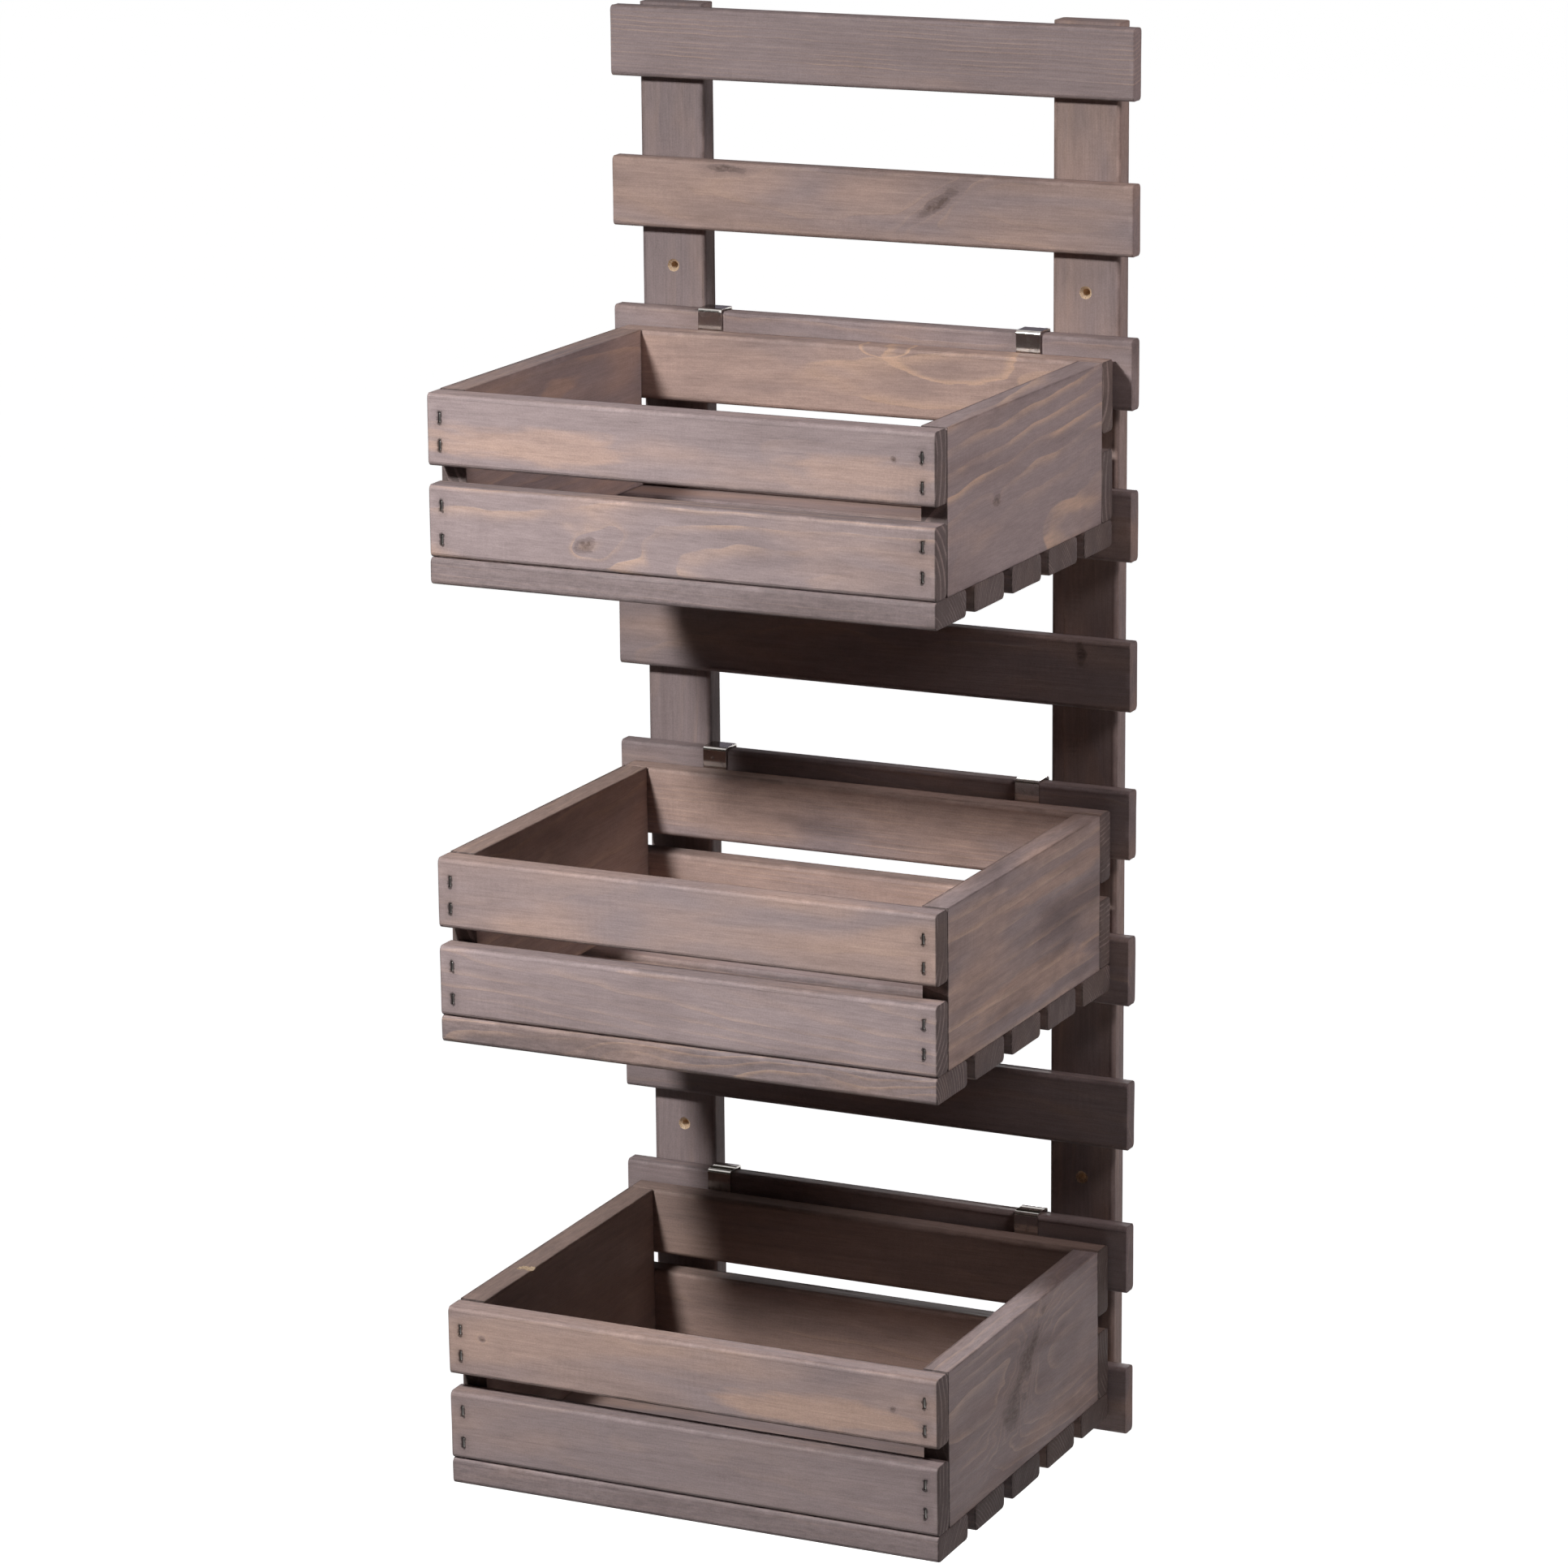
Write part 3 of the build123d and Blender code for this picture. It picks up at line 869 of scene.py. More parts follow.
def stain_group():
    """Stained softwood: colour, roughness and relief from the grain and from where the point lies."""
    if "Stained softwood" in bpy.data.node_groups:
        return bpy.data.node_groups["Stained softwood"]
    tree, w, start, end = new_group(
        "Stained softwood",
        {
            "vector": GRAIN_LAYERS + BOARD_LAYERS, "value": ("ring_spacing", "chatter_pitch", "end_thirst"),
            "colour": STAIN_COLOURS
        },
        {"colour": ("colour",), "value": ("roughness", "height")}
    )
    place, board = start["Log Place"], start["Board Place"]
    warmth, lightness_and_shade, streaks = w.parts(start["Tone"])
    feeds = {name: start[spoken(name)] for name in GRAIN_LAYERS}
    grain = w.group(grain_group(), ring_spacing=start["Ring Spacing"], **feeds)
    late, fibre, coarse = grain["Late Wood"], grain["Fibre"], grain["Coarse Fibre"]
    edges = w.group(edges_group(), board_place=board, board_half=start["Board Half"])
    marks = w.group(
        staple_mark_group(), board_place=board, near_row=start["Near Row"], far_row=start["Far Row"]
    )

    # Warm patches, long along the grain, with soft ragged borders; a board may have some in set places
    drift = w.cloud(w.stretch(place, 6.0, 24.0), detail=2.5, roughness=0.5, distortion=0.5)
    level = w.above(0.78, w.times(warmth, 0.5))
    warm = w.times(w.ease(w.above(drift, level), -0.18, 0.16), 0.85)
    finger = w.above(w.cloud(w.stretch(place, 26.0, 150.0), detail=3.0, distortion=0.6))
    bright, loops = 0.0, 0.0
    for name in ("First Patch", "Second Patch"):
        px, py, strength = w.parts(start[name])
        away = w.reach(px, py)
        ring = w.plus(away, w.times(w.above(drift), 0.7), w.times(finger, 0.35))
        ring = w.times(w.ease(ring, 0.8, 0.985), w.ease(ring, 1.03, 0.99))
        loops = w.plus(loops, w.times(ring, w.most(w.times(strength, -1.0), 0.0)))
        away = w.plus(away, w.times(w.above(drift), 2.4), w.times(finger, 1.1))
        patch = w.times(w.ease(away, 1.25, 0.6), strength)
        warm = w.most(warm, w.least(patch, 1.0))
        bright = w.plus(bright, w.math("SUBTRACT", patch, 1.0, clamp=True))
    colour = w.blend(warm, start["Stain"], start["Warm"])
    colour = w.blend(w.least(bright, 1.0), colour, start["Late"])

    # Broad clouds of deeper stain, and a few smoky streaks
    cloudy = w.parts(start["Ring Look"])[2]
    elsewhere = w.vector("ADD", w.stretch(place, 7.0, 26.0), (7.3, 1.1, 4.7))
    cloud = w.cloud(elsewhere, detail=2.0, roughness=0.5)
    smoky = w.times(w.ease(cloud, 0.46, 0.72), cloudy)
    colour = w.blend(w.times(smoky, 0.5), colour, start["Dark"])
    tail = w.cloud(w.stretch(place, 4.0, 110.0), detail=2.0, roughness=0.5)
    colour = w.blend(w.times(w.ease(tail, 0.55, 0.8), 0.22), colour, start["Dark"])

    # Late wood stays lighter, and knots are dark with a halo of bent grain
    halo = grain["Knot Halo"]
    drawn = w.plus(w.times(late, w.plus(streaks, w.times(halo, 0.25)), 0.78), w.times(loops, 0.75))
    colour = w.blend(w.least(drawn, 0.95), colour, start["Late"])
    colour = w.blend(w.times(halo, w.ease(cloud, 0.3, 0.6), 0.4), colour, start["Dark"])
    colour = w.blend(w.times(grain["Knot"], 0.75), colour, start["Knot"])
    colour = w.blend(w.times(grain["Knot Rim"], 0.45), colour, w.blend(fibre, start["Knot"], start["Dark"]))

    # A sawn end is dark, with its hard rings as pale lines
    thirst = w.times(edges["End"], start["End Thirst"])
    lines = w.times(w.ease(grain["Late Wood"], 0.0, 0.5), w.ease(fibre, 0.2, 0.6, 0.35, 0.7))
    colour = w.blend(thirst, colour, w.blend(lines, start["End Grain"], start["Stain"]))

    # Fibres, and the planer's marks across the grain
    wave = w.math("DIVIDE", w.parts(board)[0], start["Chatter Pitch"])
    wave = w.plus(wave, w.times(w.cloud(w.stretch(place, 40.0, 20.0), detail=2.0), 3.0))
    wave = w.math("SINE", w.times(wave, 2 * math.pi))
    elsewhere = w.vector("ADD", w.stretch(place, 16.0, 40.0), (3.1, 9.2, 0.4))
    chatter = w.times(wave, w.ease(w.cloud(elsewhere), 0.5, 0.72))
    speckle = w.above(w.cloud(board, scale=900.0, detail=1.0))
    planed = w.above(w.cloud(w.stretch(board, 120.0, 420.0), detail=3.0, roughness=0.6))
    mottle = w.above(w.cloud(w.stretch(board, 48.0, 130.0), detail=3.0, roughness=0.6))
    value = w.plus(
        1.0, w.times(w.above(fibre), 0.34), w.times(w.above(coarse), 0.26), w.times(chatter, 0.022),
        w.times(speckle, 0.32), w.times(planed, w.plus(w.times(edges["Narrow"], 1.1), 0.75), 0.34),
        w.times(mottle, cloudy, 0.3)
    )

    # Sawn ends and narrow edges drink more stain; rounded edges are lighter in places, partly as rubbed wear
    # and partly as a painted highlight
    arris, sawn = edges["Arris"], edges["End"]
    wear_and_painted_highlight = w.times(arris, w.ease(w.cloud(board, scale=70.0, detail=3.0), 0.5, 0.68))
    # The last factor is the board's lightness, which is lowered on crate 3's inner boards as painted shade
    value = w.times(
        value, w.less(sawn, 0.12), w.less(edges["Narrow"], 0.15), w.less(arris, 0.07),
        w.plus(1.0, w.times(wear_and_painted_highlight, 0.2)), w.less(marks["Smudge"], 0.16), w.less(marks["Mark"], 0.72),
        lightness_and_shade
    )
    colour = w.blend(1.0, colour, w.grey(value), way="MULTIPLY")

    roughness = w.plus(
        0.56, w.times(w.above(coarse), 0.25), w.times(late, -0.1), w.times(sawn, 0.16), w.times(smoky, 0.06)
    )
    saw_marks = w.cloud(w.vector("MULTIPLY", board, (40.0, 900.0, 60.0)), detail=2.0)
    height = w.plus(
        w.times(fibre, 0.35), w.times(coarse, 0.5), w.times(late, 0.45), w.times(chatter, 0.08),
        w.times(sawn, saw_marks, 0.9), w.times(grain["Knot"], w.ease(fibre, 0.3, 0.7), -0.5),
        w.times(marks["Mark"], -0.8)
    )
    w.give(end, colour=colour, roughness=roughness, height=height)
    return tree


def metal_group():
    """Fine scuffs and cloudy spots on plated metal."""
    if "Plated metal" in bpy.data.node_groups:
        return bpy.data.node_groups["Plated metal"]
    tree, w, start, end = new_group(
        "Plated metal",
        {"vector": ("place",), "colour": ("plate", "tarnish"), "value": ("base_roughness",)},
        {"colour": ("colour",), "value": ("roughness", "height")}
    )
    spots = w.ease(w.cloud(start["Place"], scale=260.0, detail=3.0), 0.5, 0.75)
    drawn = w.cloud(w.vector("MULTIPLY", start["Place"], (5200.0, 160.0, 160.0)), detail=2.0)
    w.give(
        end, colour=w.blend(w.times(spots, 0.5), start["Plate"], start["Tarnish"]),
        roughness=w.plus(start["Base Roughness"], w.times(spots, 0.14), w.times(w.above(drawn), 0.12)),
        height=w.plus(w.times(drawn, 0.6), w.times(spots, 0.25))
    )
    return tree


# Materials


def new_material(name):
    """A material with its wiring and its Principled shader."""
    material = bpy.data.materials.new(name)
    material.use_nodes = True
    tree = material.node_tree
    shader = next(node for node in tree.nodes if node.type == "BSDF_PRINCIPLED")
    return material, Wiring(tree), shader


def feed_shader(w, shader, made, strength, distance):
    """Joins a colour, a roughness and a height to the shader; the height as a relief."""
    relief = w.put("ShaderNodeBump", {"Strength": strength, "Distance": distance, "Height": made["Height"]})
    w.give(shader.inputs, base_color=made["Colour"], roughness=made["Roughness"], normal=relief)


def stained_wood(name, shade, end_thirst):
    """The stained boards' material: how light the stain is, and how much of it the sawn ends drink."""
    if name in bpy.data.materials:
        return bpy.data.materials[name]
    wood = bpy.context.scene.ladder_wood
    material, w, shader = new_material(name)
    feeds = {layer: w.layer(layer) for layer in GRAIN_LAYERS + BOARD_LAYERS}
    for colour in STAIN_COLOURS:
        feeds[colour] = [part * shade for part in getattr(wood, colour)] + [1.0]
    made = w.group(
        stain_group(), ring_spacing=wood.ring_spacing, chatter_pitch=wood.chatter_pitch,
        end_thirst=end_thirst, **feeds
    )
    feed_shader(w, shader, made, strength=0.55, distance=0.0003)
    shader.inputs["Specular IOR Level"].default_value = 0.17
    return material


def bare_wood():
    """Fresh wood in the drilled holes and where a board is chipped."""
    if "Bare wood" in bpy.data.materials:
        return bpy.data.materials["Bare wood"]
    wood = bpy.context.scene.ladder_wood
    material, w, shader = new_material("Bare wood")
    feeds = {layer: w.layer(layer) for layer in GRAIN_LAYERS}
    grain = w.group(grain_group(), ring_spacing=wood.ring_spacing, **feeds)
    torn = w.cloud(w.own_place(), scale=1400.0, detail=3.0)
    deep = [part * share for part, share in zip(wood.bare, (0.62, 0.5, 0.4))] + [1.0]
    colour = w.blend(w.ease(torn, 0.35, 0.7), [*wood.bare, 1.0], deep)
    colour = w.blend(w.times(grain["Late Wood"], 0.5), colour, deep)
    # The board's lightness darkens the bare wood too, and carries the painted shade of crate 3's inner
    # boards
    lightness_and_shade = w.parts(w.layer("tone"))[1]
    made = {
        "Colour": w.blend(1.0, colour, w.grey(lightness_and_shade), way="MULTIPLY"),
        "Roughness": w.ease(torn, 0.2, 0.8, 0.62, 0.9), "Height": w.plus(torn, w.times(grain["Fibre"], 0.6))
    }
    feed_shader(w, shader, made, strength=0.8, distance=0.0004)
    shader.inputs["Specular IOR Level"].default_value = 0.3
    return material


def plated_steel(name, plate, tarnish, roughness):
    """Plated steel with fine drawing marks. tarnish is the share of the colour that its dull spots keep."""
    if name in bpy.data.materials:
        return bpy.data.materials[name]
    material, w, shader = new_material(name)
    made = w.group(
        metal_group(), place=w.own_place(), plate=[*plate, 1.0],
        tarnish=[part * tarnish for part in plate] + [1.0], base_roughness=roughness
    )
    feed_shader(w, shader, made, strength=0.03, distance=0.0001)
    shader.inputs["Metallic"].default_value = 1.0
    return material


# Cutting shapes and steel parts


def ragged(mesh, amount, scale, seed):
    """Pushes a cutting shape's points about a little, so that the cut looks torn."""
    for vertex in mesh.vertices:
        push = noise.noise_vector(vertex.co * scale + Vector((seed, seed, 0.0)))
        vertex.co += push * amount
    return mesh


def mesh_from(bm, name):
    """Closes a built shape's seams and poles, turns its faces outwards and keeps it as a mesh."""
    bmesh.ops.remove_doubles(bm, verts=bm.verts, dist=SAME_SPOT)
    bmesh.ops.recalc_face_normals(bm, faces=bm.faces)
    mesh = bpy.data.meshes.new(name)
    bm.to_mesh(mesh)
    bm.free()
    return mesh


def round_cutter(name, low_radius, high_radius, depth, height=0.0, segments=24):
    """A round cutting shape about the Z axis, with its middle at this height."""
    bm = bmesh.new()
    bmesh.ops.create_cone(
        bm, cap_ends=True, segments=segments, radius1=low_radius, radius2=high_radius, depth=depth
    )
    bmesh.ops.translate(bm, vec=(0.0, 0.0, height), verts=bm.verts)
    return mesh_from(bm, name)


def screw_hole(along, thickness):
    """Cutting shapes for a drilled hole with a torn countersink, in the axes of a board this thick."""
    sink, above, bore = 0.0045, 0.0005, 0.0025
    depth = sink + above
    cone = round_cutter("sink", 0.0, depth, depth, thickness / 2 + above - depth / 2)
    holes = [ragged(cone, amount=0.00035, scale=900.0, seed=along * 50)]
    holes.append(round_cutter("bore", bore, bore, thickness * 2, segments=20))
    for mesh in holes:
        mesh.transform(Matrix.Translation((along, 0.0, 0.0)))
    return holes


def spin(bm, geom, centre, axis, angle, steps, merge=False):
    """Turns points, edges or faces about an axis, and gives those that the turn ends in."""
    turned = bmesh.ops.spin(
        bm, geom=geom, cent=centre, axis=axis, dvec=(0.0, 0.0, 0.0), angle=angle, steps=steps,
        use_merge=merge, use_duplicate=False
    )
    return turned["geom_last"]


def run_along(bm, moves, axis, angle, steps):
    """Draws the built outline out along a path of straight lengths and quarter bends.

    moves holds ("go", way) for a straight length, and ("bend", centre) for a turn by the angle about an axis
    through that point.
    """
    head = bm.faces[:]
    for kind, spot in moves:
        if kind == "go":
            grown = bmesh.ops.extrude_face_region(bm, geom=head)["geom"]
            verts = [part for part in grown if isinstance(part, bmesh.types.BMVert)]
            bmesh.ops.translate(bm, vec=spot, verts=verts)
        else:
            rim = dict.fromkeys(part for face in head for part in (*face.edges, *face.verts))
            grown = spin(bm, head + list(rim), spot, axis, angle, steps)
        head = [part for part in grown if isinstance(part, bmesh.types.BMFace)]
    bmesh.ops.remove_doubles(bm, verts=bm.verts, dist=SAME_SPOT)


def shape_hook(width, rise, depth, drop):
    """A hook in its crate's axes: up the crate's back, over the rail and down behind it."""
    steel = bpy.context.scene.ladder_steel
    thickness, bend = steel.hook_thickness, steel.hook_bend
    bm = bmesh.new()
    bmesh.ops.create_grid(bm, x_segments=1, y_segments=1, size=0.5)
    bmesh.ops.scale(bm, vec=(width, thickness, 1.0), verts=bm.verts)
    bmesh.ops.translate(bm, vec=(0.0, thickness / 2, -drop), verts=bm.verts)
    path = (
        ("go", (0.0, 0.0, rise - bend + drop)), ("bend", (0.0, bend, rise - bend)),
        ("go", (0.0, depth - 2 * bend, 0.0)), ("bend", (0.0, depth - bend, rise - bend)),
        ("go", (0.0, 0.0, -(rise - bend + steel.hook_tail)))
    )
    run_along(bm, path, (1.0, 0.0, 0.0), -math.pi / 2, 6)
    bmesh.ops.recalc_face_normals(bm, faces=bm.faces)
    crisp = [e for e in bm.edges if e.is_manifold and e.calc_face_angle() > math.radians(69)]
    round_off(bm, crisp, radius=0.00022, segments=2)
    return mesh_from(bm, "hook")


def shape_staple():
    """One staple: its crown along X with its face at height 0, and its legs down."""
    steel = bpy.context.scene.ladder_steel
    wide, thick, bend = steel.staple_wire * 1.1, 0.00085, 0.0011
    reach, leg = steel.staple_crown / 2, steel.staple_leg
    bm = bmesh.new()
    bmesh.ops.create_circle(bm, cap_ends=True, segments=6, radius=0.5)
    bmesh.ops.rotate(bm, verts=bm.verts, cent=(0, 0, 0), matrix=Matrix.Rotation(math.pi / 6, 3, "Z"))
    bmesh.ops.scale(bm, vec=(thick, wide, 1.0), verts=bm.verts)
    bmesh.ops.translate(bm, vec=(-reach + thick / 2, 0.0, -leg), verts=bm.verts)
    path = (
        ("go", (0.0, 0.0, leg - bend)), ("bend", (-reach + bend, 0.0, -bend)),
        ("go", (2 * (reach - bend), 0.0, 0.0)), ("bend", (reach - bend, 0.0, -bend)),
        ("go", (0.0, 0.0, bend - leg))
    )
    run_along(bm, path, (0.0, 1.0, 0.0), math.pi / 2, 3)
    return mesh_from(bm, "staple")


def copies(mesh, places, name):
    """One mesh that holds a copy of another at each place."""
    bm = bmesh.new()
    for place in places:
        known = len(bm.verts)
        bm.from_mesh(mesh)
        bm.verts.ensure_lookup_table()
        bmesh.ops.transform(bm, matrix=place, verts=bm.verts[known:])
    bm.normal_update()
    made = bpy.data.meshes.new(name)
    bm.to_mesh(made)
    bm.free()
    return made


def axes_place(spot, x_way, z_way):
    """A place whose X and Z axes point the given ways."""
    z_way, x_way = Vector(z_way), Vector(x_way)
    turn = Matrix((x_way, z_way.cross(x_way), z_way)).transposed().to_4x4()
    return Matrix.Translation(spot) @ turn


def shape_hook_screw():
    """A countersunk screw: its head's face at height 0 with a cross recess, and its shank down."""
    head, shank, length, rim, tip = 0.0031, 0.00175, 0.015, 0.00015, 0.0003
    corners = (
        (head - rim, 0.0, 0.0), (head, 0.0, -rim), (shank, 0.0, -(head - shank)),
        (shank, 0.0, -length + shank), (tip, 0.0, -length)
    )
    bm = bmesh.new()
    profile = [bm.verts.new(corner) for corner in corners]
    edges = [bm.edges.new(pair) for pair in zip(profile, profile[1:])]
    spin(bm, profile + edges, (0.0, 0.0, 0.0), (0.0, 0.0, 1.0), 2 * math.pi, 24, merge=True)
    bmesh.ops.remove_doubles(bm, verts=bm.verts, dist=SAME_SPOT)
    bmesh.ops.holes_fill(bm, edges=[e for e in bm.edges if e.is_boundary], sides=24)
    piece = new_piece("screw_form", mesh_from(bm, "screw"))
    slot_length, slot_width, slot_depth = 0.0034, 0.0008, 0.0009
    for turned in (0.0, math.pi / 2):
        bm = bmesh.new()
        bmesh.ops.create_cube(bm, size=1.0)
        bmesh.ops.scale(bm, vec=(slot_length, slot_width, 2 * slot_depth), verts=bm.verts)
        slot = mesh_from(bm, "slot")
        slot.transform(Matrix.Rotation(turned, 4, "Z"))
        carve(piece, slot)
    mesh = piece.data
    bpy.data.objects.remove(piece)
    return mesh


def add_fasteners(form, places, material, body, node, angle=40):
    """Puts copies of a staple or screw into the scene as one piece, in place of their CAD node."""
    mesh = copies(form, places, node)
    piece = new_piece(node[:-1] + "_set", mesh, material)
    smooth(mesh, angle)
    place_in_ladder(piece, body, node)


def staple_steel():
    wire = bpy.context.scene.ladder_steel.wire
    return plated_steel("Staple wire", wire, tarnish=0.35, roughness=0.34)


def rail_staple_spots(room):
    """Where the rails' staples sit in a stile's back: how far across from its middle, and how high."""
    for rail in RAILS:
        low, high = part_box(rail)
        for across, down in RAIL_STAPLE_SHARES:
            yield across * room.x, high.z - down * (high.z - low.z)


# Operators


class LADDER_OT_add_stiles(bpy.types.Operator):
    """Add the two upright stiles with their screw holes"""

    bl_idname = "ladder.add_stiles"
    bl_label = "Add Stiles"

    def execute(self, context):
        edge = context.scene.ladder_wood.stile_edge
        hole_heights = []
        for rail, below in zip(RAILS, RAILS[1:]):
            if rail in RAILS_ABOVE_HOLES:
                hole_heights.append((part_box(rail)[0].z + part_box(below)[1].z) / 2)
        for side in SIDES:
            middle, room = node_room(f"{side}_stile")
            holes = []
            for height in hole_heights:
                holes += screw_hole(height - middle.z, room.y)
            grooves = [(up - middle.z, -across, -1, "along") for across, up in rail_staple_spots(room)]
            add_board(f"{side}_stile", "ladder", "upright", edge, grooves=grooves, cutters=holes)
        return {"FINISHED"}


class LADDER_OT_add_rails(bpy.types.Operator):
    """Add the ten rails across the stiles"""

    bl_idname = "ladder.add_rails"
    bl_label = "Add Rails"

    def execute(self, context):
        for rail in RAILS:
            add_board(rail, "ladder", "front", context.scene.ladder_wood.rail_edge)
        return {"FINISHED"}


class LADDER_OT_add_rail_staples(bpy.types.Operator):
    """Add the staples that hold the rails, in the stiles' backs"""

    bl_idname = "ladder.add_rail_staples"
    bl_label = "Add Rail Staples"

    def execute(self, context):
        form, material = shape_staple(), staple_steel()
        for side in SIDES:
            middle, room = node_room(f"{side}_stile")
            places = []
            for across, up in rail_staple_spots(room):
                spot = (middle.x + across, -STAPLE_SUNK, up)
                places.append(axes_place(spot, (0, 0, 1), (0, 1, 0)))
            add_fasteners(form, places, material, "ladder", f"{side}_rail_staples")
        return {"FINISHED"}


class LADDER_OT_add_crate_panels(bpy.types.Operator):
    """Add the solid side panels of the three crates"""

    bl_idname = "ladder.add_crate_panels"
    bl_label = "Add Crate Panels"

    def execute(self, context):
        edge = context.scene.ladder_wood.panel_edge
        for crate, lean in leaning_crates():
            for side in SIDES:
                node = f"{crate}_{side}_panel"
                chips = []
                if node == "crate_3_left_panel":
                    # A chip beside the panel's outer face
                    outer_face = -node_room(node, lean)[1].x / 2
                    chips.append((0.055, outer_face + 0.004, 0.0045, 0.010, 0.0012))
                add_board(node, crate, f"{side}_side", edge, lean, chips=chips)
        return {"FINISHED"}


class LADDER_OT_add_crate_slats(bpy.types.Operator):
    """Add the crates' front and back slats"""

    bl_idname = "ladder.add_crate_slats"
    bl_label = "Add Crate Slats"

    def execute(self, context):
        edge = context.scene.ladder_wood.slat_edge
        for crate, lean in leaning_crates():
            for place in ("front", "back"):
                for level, (left, right) in SLAT_STAPLES.items():
                    ends = {-1: left, 1: right}
                    add_board(f"{crate}_{place}_{level}_slat", crate, place, edge, lean, ends)
        return {"FINISHED"}


class LADDER_OT_add_crate_bottoms(bpy.types.Operator):
    """Add the slats of the crates' bottoms"""

    bl_idname = "ladder.add_crate_bottoms"
    bl_label = "Add Crate Bottoms"

    def execute(self, context):
        edge = context.scene.ladder_wood.slat_edge
        for crate, lean in leaning_crates():
            for number, shares in enumerate(STAPLE_SHARES, 1):
                ends = {-1: shares, 1: shares}
                add_board(f"{crate}_bottom_slat_{number}", crate, "flat", edge, lean, ends)
        return {"FINISHED"}


class LADDER_OT_add_crate_staples(bpy.types.Operator):
    """Add the staples that hold the crates' slats"""

    bl_idname = "ladder.add_crate_staples"
    bl_label = "Add Crate Staples"

    def execute(self, context):
        form, material = shape_staple(), staple_steel()
        for crate, lean in leaning_crates():
            places = []
            for end, side in enumerate(SIDES):
                x = node_room(f"{crate}_{side}_panel", lean)[0].x
                for place, out in (("front", -1), ("back", 1)):
                    for level, ends in SLAT_STAPLES.items():
                        middle, room = node_room(f"{crate}_{place}_{level}_slat", lean)
                        y, top = middle.y + out * (room.y / 2 - STAPLE_SUNK), middle.z + room.z / 2
                        for share in ends[end]:
                            spot = (x, y, top - share * room.z)
                            places.append(lean @ axes_place(spot, (0, 0, 1), (0, out, 0)))
                for number, shares in enumerate(STAPLE_SHARES, 1):
                    middle, room = node_room(f"{crate}_bottom_slat_{number}", lean)
                    front, z = middle.y - room.y / 2, middle.z - room.z / 2 + STAPLE_SUNK
                    for share in shares:
                        spot = (x, front + share * room.y, z)
                        places.append(lean @ axes_place(spot, (0, 1, 0), (0, 0, -1)))
            add_fasteners(form, places, material, crate, f"{crate}_staples")
        return {"FINISHED"}


class LADDER_OT_add_hooks(bpy.types.Operator):
    """Add the bent steel hooks of the crates"""

    bl_idname = "ladder.add_hooks"
    bl_label = "Add Hooks"

    def execute(self, context):
        steel = context.scene.ladder_steel
        material = plated_steel("Hook plating", steel.plate, tarnish=0.5, roughness=0.13)
        # The screws' countersinks, cut from just above the strip's face
        sink, above = 0.0033, 0.0001
        for crate, lean in leaning_crates():
            top, back = back_edge(crate, lean)
            for side in SIDES:
                node = f"{crate}_{side}_hook"
                middle, room = node_room(node, lean)
                rise = middle.z + room.z / 2 - top
                drop = room.z - rise
                piece = new_piece(node + "_strip", shape_hook(room.x, rise, room.y, drop), material)
                for share in SCREW_SHARES:
                    cutter = round_cutter("sink", 0.0, sink, sink, -sink / 2)
                    spot = (0.0, steel.hook_thickness + above, -share * drop)
                    cutter.transform(axes_place(spot, (1, 0, 0), (0, 1, 0)))
                    carve(piece, cutter)
                smooth(piece.data, 35)
                keep_faces_flat(piece)
                piece.data.transform(lean @ Matrix.Translation((middle.x, back, top)))
                place_in_ladder(piece, crate, node)
        return {"FINISHED"}


class LADDER_OT_add_hook_screws(bpy.types.Operator):
    """Add the screws that hold the hooks"""

    bl_idname = "ladder.add_hook_screws"
    bl_label = "Add Hook Screws"

    def execute(self, context):
        steel = context.scene.ladder_steel
        form = shape_hook_screw()
        material = plated_steel("Screw plating", steel.zinc, tarnish=0.6, roughness=0.28)
        for number, (crate, lean) in enumerate(leaning_crates(), 1):
            top, back = back_edge(crate, lean)
            places = []
            for side in SIDES:
                middle, room = node_room(f"{crate}_{side}_hook", lean)
                drop = top - (middle.z - room.z / 2)
                for index, share in enumerate(SCREW_SHARES):
                    spot = (middle.x, back + steel.hook_thickness, top - share * drop)
                    # Each cross recess stands at an angle of its own
                    turned = Matrix.Rotation(0.5 + 0.9 * index + number + middle.x * 9, 4, "Z")
                    places.append(lean @ axes_place(spot, (1, 0, 0), (0, 1, 0)) @ turned)
            add_fasteners(form, places, material, crate, f"{crate}_hook_screws", 30)
        return {"FINISHED"}


